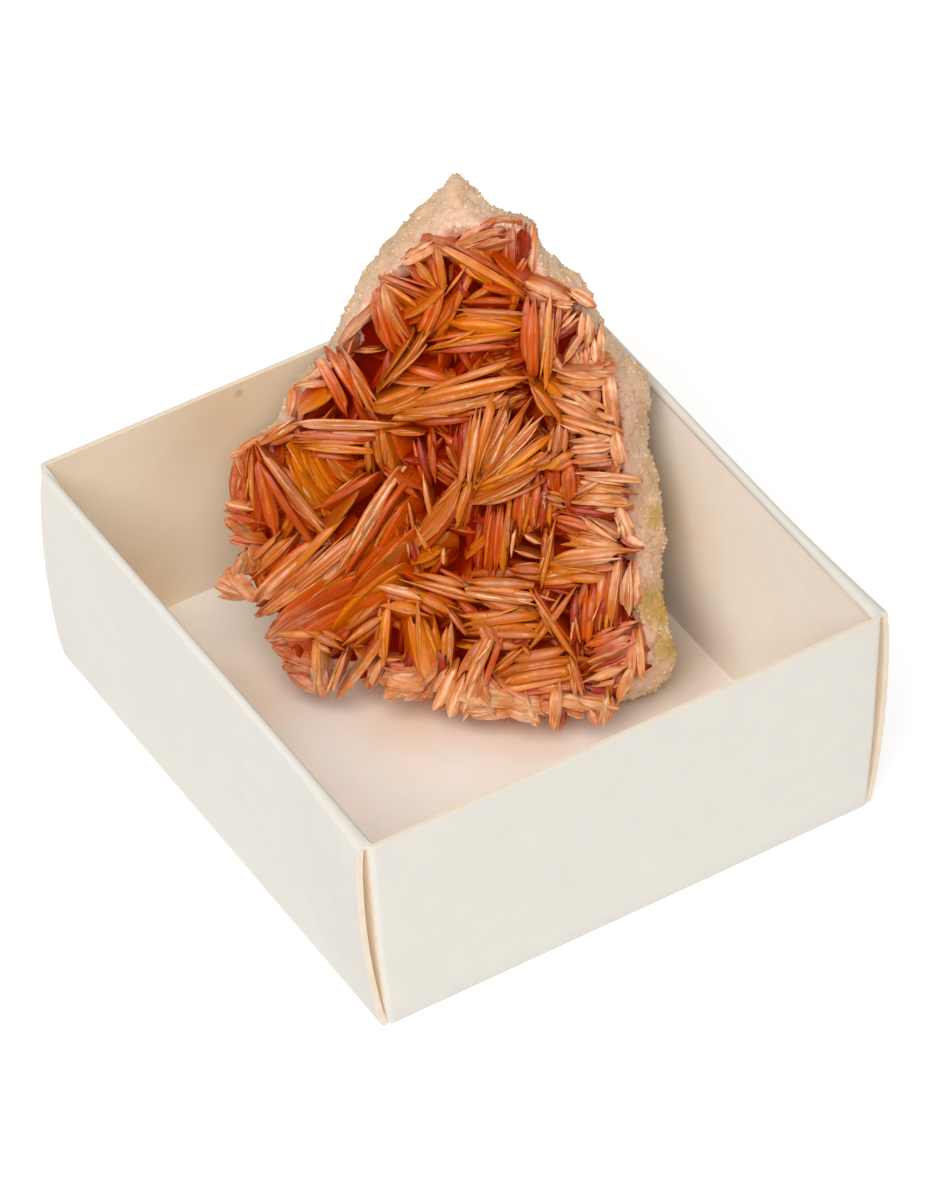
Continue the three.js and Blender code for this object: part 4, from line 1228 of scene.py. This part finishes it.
    (-4.2, 25.4, -1.3, 28.8, 0.4, 5, 0.5, 0, 1, 4), (-4.9, 30.4, -2, 28.6, 0.7, 4, -0.4, 10, 2, 1),
    (-7, 32.8, -5.2, 27.8, 0.6, 5, -0.3, 0, 2, 0), (-5.3, 32.4, -4.7, 28.4, 0.6, 5, 0, 0, 2, 1),
    (-3.6, 32.2, -2.2, 29.8, 0.5, 4, 0, 20, 1, 4), (-1.9, 35.9, -1.8, 29.4, 1.1, 5, -0.3, 10, 2, 0),
    (-0.2, 36.2, -0.8, 27.8, 0.9, 6, 1.4, 0, 2, 3), (-0.8, 28.3, -1.9, 23.6, 0.9, 5, 1, 20, 2, 4),
    (-0.2, 28.8, 1.2, 38.2, 1, 6, 1.2, 0, 2, 2), (0.2, 29, 2.9, 37.6, 1.1, 6, 1.4, 0, 3, 3),
    (0.4, 29, 5, 37.4, 1.5, 6, 1.3, 0, 4, 4), (0.6, 28.9, 6.9, 36.6, 1.2, 6, 1.2, 0, 4, 3),
    (0.8, 28.4, 8.2, 34.8, 1.1, 6, 0.8, 0, 3, 2), (-0.4, 27.4, 7.4, 31.6, 1.2, 6, 0.7, 0, 3, 2),
    (-0.3, 25.5, 7, 29.8, 0.8, 6, 1, 20, 3, 3), (6.8, 31.4, 8.6, 32.4, 0.8, 4, 0.8, 0, 2, 3),
    (6.6, 34.6, 7.4, 33.2, 1, 4, -0.2, 0, 2, 2), (-1.2, 27, -5, 20.4, 0.8, 2, 1.1, -45, 2, 3),
    (-6.4, 22.4, -4.6, 19.9, 0.5, 4, 0.6, 0, 1, 4), (-5.9, 18.2, -3.4, 19.9, 0.7, 4, 0.2, 30, 2, 2),
    (-3, 20.6, -2.9, 18.7, 0.5, 3, -0.4, 0, 1, 3), (0.6, 25.4, 0.9, 18.4, 1.4, 5, -1.6, 20, 2, 0),
    (2.3, 26, 2.2, 17.8, 1, 5, -0.5, 0, 3, 1), (3.3, 26.4, 3.2, 18.2, 0.9, 5, -0.2, 0, 3, 1),
    (4.2, 26.8, 3.9, 18.4, 0.7, 5, 0.1, 0, 2, 2), (5.9, 28.9, 5.4, 23.4, 1.1, 5, 0.1, 10, 2, 1),
    (7.1, 29.4, 6.9, 23.6, 0.9, 5, -0.1, 10, 2, 1), (8.2, 29, 8, 24, 0.7, 5, -0.3, 0, 2, 0),
    (5, 23.3, 4.8, 20.7, 0.4, 4, 0.2, 0, 1, 3), (5, 21.1, 8.2, 20.5, 0.45, 4, 0.1, 0, 1, 3),
    (6.2, 23, 8, 22.2, 0.5, 4, -0.1, 0, 1, 3), (5, 19.2, 8.6, 19.4, 1, 5, 0, -30, 2, 4),
    # upper right
    (8.4, 47.4, 10, 49.4, 0.5, 4, 0.1, 0, 1, 3), (9, 43.5, 11, 47.3, 0.6, 5, 0.3, 0, 2, 2),
    (11.6, 49.2, 11.7, 45.8, 0.9, 5, 0.1, 0, 2, 4), (12.3, 46.6, 12.7, 44, 0.9, 5, 0, 0, 2, 3),
    (10.2, 45.2, 10.8, 43, 0.8, 4, -0.6, 0, 2, 1), (11.4, 45.4, 11.6, 43, 0.6, 4, -0.2, 0, 2, 1),
    (8.4, 42.3, 14.2, 42.5, 1.4, 5, 0.1, 20, 3, 3), (8, 44, 8.9, 42.7, 0.5, 4, 0, 0, 1, 3),
    (9.4, 41.2, 13.6, 41.4, 1, 5, -0.1, 20, 2, 2), (10.4, 39.9, 12.9, 38.1, 0.7, 5, 0.5, 0, 2, 3),
    (7.5, 39.4, 14.6, 36.9, 1.6, 5, 0.3, -15, 4, 4), (14.2, 42.6, 15.4, 36.9, 1.6, 5, -0.3, 0, 3, 3),
    (12.9, 48.2, 13.4, 43.6, 0.9, 5, -0.6, 0, 2, 3), (9, 52.2, 12, 50.6, 1.4, 5, -0.8, 20, 3, 3),
    (7.4, 50.2, 9.6, 50.6, 0.9, 5, -0.5, 0, 2, 2), (7.4, 46.6, 7.8, 43.6, 0.7, 5, -0.3, 0, 2, 3),
    # right
    (9.2, 36.3, 11.6, 35.7, 0.4, 4, 0.4, 0, 1, 3), (8.6, 37.3, 15.9, 36.2, 1.1, 5, 0.3, -15, 3, 4),
    (11.8, 34.9, 14.4, 35.1, 0.5, 4, 0.1, 0, 1, 3), (10.4, 33.5, 15.3, 34.4, 1, 5, 0.3, -10, 3, 3),
    (9.2, 36.2, 8.9, 32.8, 0.9, 5, 0.6, 0, 2, 3), (7.9, 30.9, 10.6, 33, 1, 5, 0.4, 0, 2, 2),
    (10.6, 32.1, 15.6, 33, 0.8, 5, 0.1, -15, 3, 4), (15.6, 36, 16.4, 32.4, 1.6, 5, -0.2, 0, 3, 3),
    (10.3, 31.8, 10.9, 27.2, 1.5, 6, 0, 15, 2, 1), (8.2, 31, 9, 28.2, 1.2, 5, -0.9, 20, 2, 1),
    (12, 30.7, 18.6, 30.8, 1, 5, 0.2, -10, 3, 3), (11.5, 28.3, 14.2, 30.2, 0.5, 5, 0.4, 0, 1, 3),
    (12.2, 29.3, 18, 29.7, 1, 5, 0.1, -20, 3, 2), (11.8, 27.9, 17.9, 28.2, 1.2, 5, 0.1, -20, 3, 2),
    (8.2, 27.8, 10.6, 27.4, 0.6, 5, 0.5, 0, 2, 3), (10.8, 26.9, 16, 26.6, 0.6, 5, -0.4, -30, 2, 0),
    (9.2, 25.8, 15, 24.6, 1, 5, -0.3, -30, 3, 1), (12.8, 25.5, 16.4, 23.6, 0.6, 5, 0.4, 0, 2, 3),
    (11.8, 23.6, 17, 22.9, 1.4, 5, 0.2, -10, 3, 4), (10, 20.6, 17.2, 22.2, 1.9, 6, 0.5, -15, 4, 4),
    (8.8, 19.6, 15.4, 20.2, 1.4, 6, 0.4, -15, 3, 2), (8.2, 18.1, 13.6, 18.9, 1.2, 6, 0.1, -20, 3, 2),
    (9.4, 24.8, 8.5, 17.2, 0.6, 5, 0.4, 0, 2, 4), (17.1, 21.4, 16.8, 13.6, 0.9, 5, 0.3, 0, 2, 2),
    (15.8, 20.6, 15.7, 13.4, 1.3, 5, 0, 0, 3, 1), (14.6, 20, 14.4, 17, 0.7, 4, -0.8, 0, 2, 0),
    (18.4, 20.6, 18.5, 15.6, 1.4, 5, -0.1, 0, 3, 3), (19.6, 20.4, 19.9, 16.4, 0.9, 4, -0.6, 0, 2, 3),
    (17.2, 25.6, 17.7, 23.9, 0.5, 4, 0.2, 0, 1, 3), (16.6, 27.6, 18.2, 24.4, 0.9, 4, -0.3, 0, 2, 3),
    (17.6, 24.2, 20.4, 23.2, 0.8, 4, -0.3, 0, 2, 3),
    # lower right
    (7.5, 16.3, 12.8, 9.4, 0.6, 6, 0.8, 0, 2, 4), (12.4, 17.4, 7.9, 9.9, 0.7, 6, 0.8, 0, 2, 4),
    (12.5, 16.6, 13, 10.2, 0.8, 5, -0.5, 0, 2, 0), (13.9, 16.6, 13.7, 10.6, 0.5, 5, -0.7, 0, 1, 0),
    (14.5, 17.2, 14.5, 11, 0.8, 5, 0, 0, 2, 1), (15.9, 16.8, 15.3, 12.6, 0.8, 5, 0, 15, 2, 0),
    (14.2, 10.8, 18.8, 13.4, 0.9, 5, 0.3, -10, 2, 1), (14.4, 9.2, 19.8, 12.4, 1.3, 6, 0.3, -35, 3, 1),
    (14.9, 8.2, 19.4, 11.2, 1, 5, -0.3, -30, 2, 0), (20.2, 13, 21, 7.8, 0.8, 5, 0.2, 10, 2, 2),
    (19.2, 11.8, 19.6, 8, 1.4, 5, -0.1, 20, 2, 1), (15, 6.8, 19, 8.8, 1, 5, 0.5, 0, 2, 3),
    (19.9, 8.8, 18.4, 4.5, 1.2, 5, 0.3, 0, 3, 2), (18.6, 8, 17.8, 5.4, 0.8, 5, 0.1, 0, 2, 0),
    (15, 5.9, 17.9, 5.3, 1, 4, -0.8, 0, 2, 0), (14.4, 4.1, 18.4, 3.7, 1, 5, 0.3, 0, 2, 3),
    (17.3, 5.2, 17.2, 1.6, 1, 5, 0.3, 0, 2, 3), (15.4, 3.2, 16.4, 1.6, 1, 4, 0.1, 0, 2, 3),
    (13, 3.2, 15, 3.2, 0.9, 4, 0.2, 0, 2, 3), (12.6, 9.4, 14.4, 4.8, 0.6, 5, 0.2, 0, 2, 4),
]
print("sheaves:", len(SHEAVES), "blades:", sum(row[8] for row in SHEAVES))

# %% [markdown]
# A row becomes a sheaf that reaches into the rock by its breadth. At the edge of the field a
# sheaf hangs over, so it turns its root towards the heart of the specimen, and where its lean
# would still carry its deep side out past the field, it stands up straighter. Splinters, single thin
# blades, lie along most fronts at a slight angle and give them their feathery, frosted look.


# %% One sheaf
def empty_barite():
    bm = bmesh.new()
    bm.verts.layers.float_color.new("look")
    bm.verts.layers.float_vector.new("grain")
    bm.verts.layers.float.new("frost")
    return bm


SPLINTER_TURN = 0.12
ROOT_INSET = 1.5
REACH_UNDER = 0.04
THICKER = 1.1
EDGE_NARROWING = 0.55


def into_rock(middle, left, lean, breadth):
    """Direction into the rock, leaning but at the edge turned towards the heart, and that turn."""
    across, up, _ = seen_place(middle)
    excess = beyond_field(across, up, overhang=False) + ROOT_INSET
    heartwards = ACROSS * (HEART[0] - across) + UP_FACE * (HEART[1] - up)
    if excess > 0:
        shift = min(excess / breadth, 0.85)
        lean *= 1 - shift
        inward = heartwards.normalized() * shift - OUT_OF_FACE * math.sqrt(1 - shift**2)
    else:
        shift = 0
        inward = -OUT_OF_FACE
    for share in (1, 0.5, 0, -0.5):
        tilt = math.radians(lean * share)
        trial = (left * math.sin(tilt) + inward * math.cos(tilt)).normalized()
        across, up, _ = seen_place(middle + trial * breadth)
        if beyond_field(across, up, overhang=False) < 0.5:
            break
    return trial, shift


def add_splinters(bm, start, end, inward, row, rng):
    thick, tone = row[4], row[9]
    along = end - start
    across = along.normalized().cross(inward).normalized()
    for _ in range(rng.choice((0, 1, 1, 2)) if thick > 0.55 else 0):
        aside = across * rng.uniform(-0.4, 0.4) * thick
        begin, stop = rng.uniform(0, 0.45), rng.uniform(0.6, 1.0)
        turn = across * along.length * rng.uniform(-SPLINTER_TURN, SPLINTER_TURN)
        proud = -inward * rng.uniform(0.0, 0.25)
        near = start + along * begin + aside + proud
        far = start + along * stop + aside + turn + proud
        width = rng.uniform(0.22, 0.4)
        own_tone = rng.choice((tone, tone, FROSTED, TAN))
        add_sheaf(bm, near, far, inward, width, 1.6, 1, own_tone, rng)


def make_sheaf(row, rng, splinters=True):
    u0, v0, u1, v1, thick, breadth, lift, lean, plates, tone = row
    start, end = on_face(u0, v0, lift), on_face(u1, v1, lift)
    under = (end - start) * REACH_UNDER
    start, end = start - under, end + under
    left = OUT_OF_FACE.cross((end - start).normalized()).normalized()
    inward, turned = into_rock((start + end) / 2, left, lean, breadth)
    breadth *= 1 - EDGE_NARROWING * turned
    ribs = min(max(1, round(plates * RIBS_PER_BLADE)), MOST_RIBS)
    bm = empty_barite()
    add_sheaf(bm, start, end, inward, thick * THICKER, breadth, ribs, tone, rng)
    if splinters:
        add_splinters(bm, start, end, inward, row, rng)
    return bm


def make_sheaves():
    rng = random.Random(17)
    bm = empty_barite()
    for row in SHEAVES:
        join_into(bm, make_sheaf(row, rng))
    return bm


sheaves = finish_piece(make_sheaves(), "barite_sheaves", [orange_barite], "barite_blades")

# %% [markdown]
# ## Between the sheaves
#
# Behind the sheaves that one can tell apart, smaller blades fill the gaps down to the bed.
# Flank blades have grown against both sides of every sheaf. Tufts are scattered with a
# seed: each mostly follows the nearest sheaf, or crosses it. Both leave open the dark
# pockets that the photograph shows.

# %% Dark pockets
POCKETS = [
    (-8, 41, -3, 43.4), (-2, 48.9, 4, 50.5), (-4.9, 51, -4, 54), (-2.2, 50.6, -0.6, 52.2),
    (-9.3, 47, -8, 48.6), (-12, 38, -4, 39), (5, 37.5, 5.8, 39.8), (-10.5, 35.4, -9, 36),
    (-9, 33.6, -3.8, 35), (-8.9, 31, -7.6, 32.9), (-4.2, 30.3, -2.8, 32), (-4.8, 25.8, -3.2, 28.2),
    (-7, 23.5, -5.2, 26.5), (-9.4, 24.6, -7.8, 26.2), (-2.2, 19.6, -1, 21.6), (-0.6, 17.9, 0.7, 21),
    (-15.3, 44, -13.3, 46), (-13.8, 40.3, -12, 42.5), (-18.5, 34.6, -15.2, 36.2),
    (-15, 29.5, -12.6, 30.2), (-15.5, 22, -12, 27), (-26, 17, -24, 18.8), (-14.5, 10.2, -12.8, 12.2),
    (-15.6, 3, -14, 7.3), (-18.2, 6, -17.3, 7.8), (-12.9, 4.8, -12, 6.3), (-9.2, 16, -6.5, 19.5),
    (-8.4, 7, -5.6, 12.2), (-3.8, 10.8, -2.2, 13.2), (-1.2, 10.1, 0, 11.3), (-0.4, 7.6, 1, 9.2),
    (8.3, 44, 9.6, 46.4), (8.4, 40.6, 9.5, 41.4), (8.6, 36, 11, 36.9), (11.4, 30.9, 14.3, 31.6),
    (9.5, 21, 11.8, 23.4), (5, 19.4, 7, 20.4), (5, 21.2, 8, 22.6), (8, 14.8, 10.5, 16.5),
    (10.8, 12.8, 12.1, 14.1), (9.4, 11, 10.8, 13), (15.2, 5, 17.8, 6.4), (13.5, 4.2, 14.6, 5.1),
]


def in_pocket(across, up, margin=0.3):
    return any(
        u0 - margin < across < u1 + margin and v0 - margin < up < v1 + margin for u0, v0, u1, v1 in POCKETS
    )


def nearest_direction(across, up):
    best, direction, tone = 1e9, 0, ORANGE
    for u0, v0, u1, v1, *_, own_tone in SHEAVES:
        gap = math.hypot((u0 + u1) / 2 - across, (v0 + v1) / 2 - up)
        if gap < best:
            best, direction, tone = gap, math.atan2(v1 - v0, u1 - u0), own_tone
    return direction, tone


print("dark pockets:", len(POCKETS))

# %% Flank blades
FLANK_TURN = (-0.03, 0.1)
FLANK_SINK = (0.25, 1.1)


def flank_rows(row, rng):
    """Rows for two thinner sheaves grown against the sides of one, lower and slightly turned."""
    u0, v0, u1, v1, thick, breadth, lift, lean, plates, tone = row
    start, reach = Vector((u0, v0)), Vector((u1 - u0, v1 - v0))
    aside = reach.orthogonal().normalized()
    rows = []
    for side in (-1, 1):
        shift = aside * side * thick * rng.uniform(0.5, 1.0)
        turn = aside * side * reach.length * rng.uniform(*FLANK_TURN)
        near = start + reach * rng.uniform(-0.04, 0.25) + shift
        far = start + reach * rng.uniform(0.75, 1.04) + shift + turn
        middle = (near + far) / 2
        if in_pocket(*middle) or max(beyond_field(*near), beyond_field(*far)) > 0.2:
            continue
        sunk = lift - rng.uniform(*FLANK_SINK)
        tilt = lean + rng.uniform(-12, 12)
        own_tone = rng.choice((tone, tone, ORANGE, AMBER))
        rows.append((*near, *far, thick * rng.uniform(0.5, 0.85), breadth, sunk, tilt, 2, own_tone))
    return rows


def make_flanks():
    rng = random.Random(23)
    bm = empty_barite()
    for row in SHEAVES:
        for flank in flank_rows(row, rng):
            join_into(bm, make_sheaf(flank, rng, False))
    return bm


flanks = finish_piece(make_flanks(), "barite_flanks", [orange_barite], "barite_blades")

# %% Tufts
TUFTS = 480
TUFT_LENGTH = (2.6, 6.5)
TUFT_LIFT = (-3.2, -0.9)


def tuft_row(across, up, rng):
    direction, tone = nearest_direction(across, up)
    if rng.random() < 0.45:
        direction += rng.choice((-1, 1)) * rng.uniform(0.6, 1.5)
    direction += rng.uniform(-0.3, 0.3)
    tone = rng.choice((tone, tone, ORANGE, ORANGE, AMBER, DEEP_RED))
    length = rng.uniform(*TUFT_LENGTH)
    lift = rng.uniform(*TUFT_LIFT)
    reach_u, reach_v = math.cos(direction) * length / 2, math.sin(direction) * length / 2
    thick = rng.uniform(0.6, 1.1)
    return (
        across - reach_u, up - reach_v, across + reach_u, up + reach_v,
        thick, 3.6, lift, rng.uniform(-40, 40), rng.choice((2, 2, 3)), tone,
    )


def make_tufts():
    rng = random.Random(5)
    bm = empty_barite()
    placed = 0
    while placed < TUFTS:
        across, up = rng.uniform(-29, 25), rng.uniform(1, 62)
        if beyond_field(across, up) > -0.8 or in_pocket(across, up):
            continue
        row = tuft_row(across, up, rng)
        if max(beyond_field(*row[:2]), beyond_field(*row[2:4])) > 0.3:
            continue
        join_into(bm, make_sheaf(row, rng, False))
        placed += 1
    return bm


tufts = finish_piece(make_tufts(), "barite_tufts", [orange_barite], "barite_blades")

# %% [markdown]
# ## Bed
#
# The blades stand on a bed of massive barite that lines the hollow front of the rock. It
# only shows at the bottom of the gaps. It starts as a fan of triangles whose rim is
# extruded outwards ring by ring, and is then roughened and made solid.

# %% Bed of the blades
BED_RINGS = [(0.3, -5.4), (0.6, -5.2), (0.85, -4.8), (0.96, -4.6)]
BED_THICKNESS = 1.4


def bed_ring(share, out):
    places = []
    for u, v, band in ROCK_OUTLINE:
        reach = math.hypot(u - HEART[0], v - HEART[1])
        at = share * (1 - max(band, 0.4) / reach)
        places.append(on_face(HEART[0] + (u - HEART[0]) * at, HEART[1] + (v - HEART[1]) * at, out))
    return places


def make_bed():
    bm = bmesh.new()
    bmesh.ops.create_circle(bm, cap_ends=True, cap_tris=True, segments=len(ROCK_OUTLINE), radius=1)
    rim = [edge for edge in bm.edges if edge.is_boundary]
    hub = next(vert for vert in bm.verts if not vert.is_boundary)
    hub.co = on_face(*HEART, BED_RINGS[0][1])
    ring = sorted((v for v in bm.verts if v is not hub), key=lambda v: v.index)
    for vert, place in zip(ring, bed_ring(*BED_RINGS[0])):
        vert.co = place
    for share, out in BED_RINGS[1:]:
        made = bmesh.ops.extrude_edge_only(bm, edges=rim)["geom"]
        fresh = {item for item in made if isinstance(item, bmesh.types.BMVert)}
        grown = {}
        for vert in fresh:
            for edge in vert.link_edges:
                if edge.other_vert(vert) not in fresh:
                    grown[edge.other_vert(vert)] = vert
        ring = [grown[vert] for vert in ring]
        for vert, place in zip(ring, bed_ring(share, out)):
            vert.co = place
        rim = [e for e in made if isinstance(e, bmesh.types.BMEdge) and all(v in fresh for v in e.verts)]
    bmesh.ops.subdivide_edges(bm, edges=bm.edges[:], cuts=2, use_grid_fill=True)
    for vert in bm.verts:
        vert.co += OUT_OF_FACE * (noise.noise(vert.co / 1.7) * 0.9)
    bmesh.ops.recalc_face_normals(bm, faces=bm.faces)
    if sum(face.normal.dot(OUT_OF_FACE) for face in bm.faces) < 0:
        bmesh.ops.reverse_faces(bm, faces=bm.faces)
    bmesh.ops.solidify(bm, geom=bm.faces[:], thickness=BED_THICKNESS)
    look = bm.verts.layers.float_color.new("look")
    grain = bm.verts.layers.float_vector.new("grain")
    bm.verts.layers.float.new("frost")
    for vert in bm.verts:
        # The whole bed counts as deep, so it gets the painted deep shade and glow.
        vert[look] = (DEEP_RED / 4, 0, 0.9, 0.4)
        vert[grain] = vert.co
    return bm


bed = finish_piece(make_bed(), "barite_bed", [orange_barite], "barite_blades")

# %% [markdown]
# ## Floor and light
#
# The photograph is a cut-out on pure white, lit softly from all around with a little more
# from above and the left. A pale floor that also glows faintly keeps the ground white
# without hiding the object's own shading, a warm white world fills from every side, and one
# large soft lamp gives the blades their gloss.

# %% Floor
def add_floor():
    bm = bmesh.new()
    bmesh.ops.create_grid(bm, x_segments=2, y_segments=2, size=3)
    bmesh.ops.translate(bm, vec=(0, 0, -0.0002), verts=bm.verts)
    mesh = bpy.data.meshes.new("floor")
    bm.to_mesh(mesh)
    bm.free()
    floor = bpy.data.objects.new("floor", mesh)
    bpy.context.scene.collection.objects.link(floor)
    material, tree, shader = new_material("pale_floor")
    shader.inputs["Base Color"].default_value = (*grey(0.4), 1)
    shader.inputs["Roughness"].default_value = 1
    shader.inputs["Specular IOR Level"].default_value = 0
    shader.inputs["Emission Color"].default_value = (*grey(1), 1)
    shader.inputs["Emission Strength"].default_value = 0.7
    mesh.materials.append(material)
    return floor


floor = add_floor()
print("floor ready")

# %% Lamps and world
WORLD_STRENGTH = 0.38
WORLD_COLOUR = (1, 0.92, 0.82, 1)


def add_lamp(name, spot, target, size, power, colour=(1, 1, 1)):
    data = bpy.data.lights.new(name, "AREA")
    data.shape = "DISK"
    data.size = size
    data.energy = power
    data.color = colour
    lamp = bpy.data.objects.new(name, data)
    bpy.context.scene.collection.objects.link(lamp)
    lamp.location = spot
    direction = Vector(target) - Vector(spot)
    lamp.rotation_euler = direction.to_track_quat("-Z", "Y").to_euler()
    return lamp


def add_light():
    world = bpy.data.worlds.new("soft white")
    bpy.context.scene.world = world
    world.use_nodes = True
    sky = world.node_tree.nodes["Background"]
    sky.inputs["Color"].default_value = WORLD_COLOUR
    sky.inputs["Strength"].default_value = WORLD_STRENGTH
    add_lamp("key", (-0.59, -0.56, 1.07), (0, 0, 0.02), 1.2, 17)


add_light()
bpy.context.scene.view_settings.view_transform = "Standard"
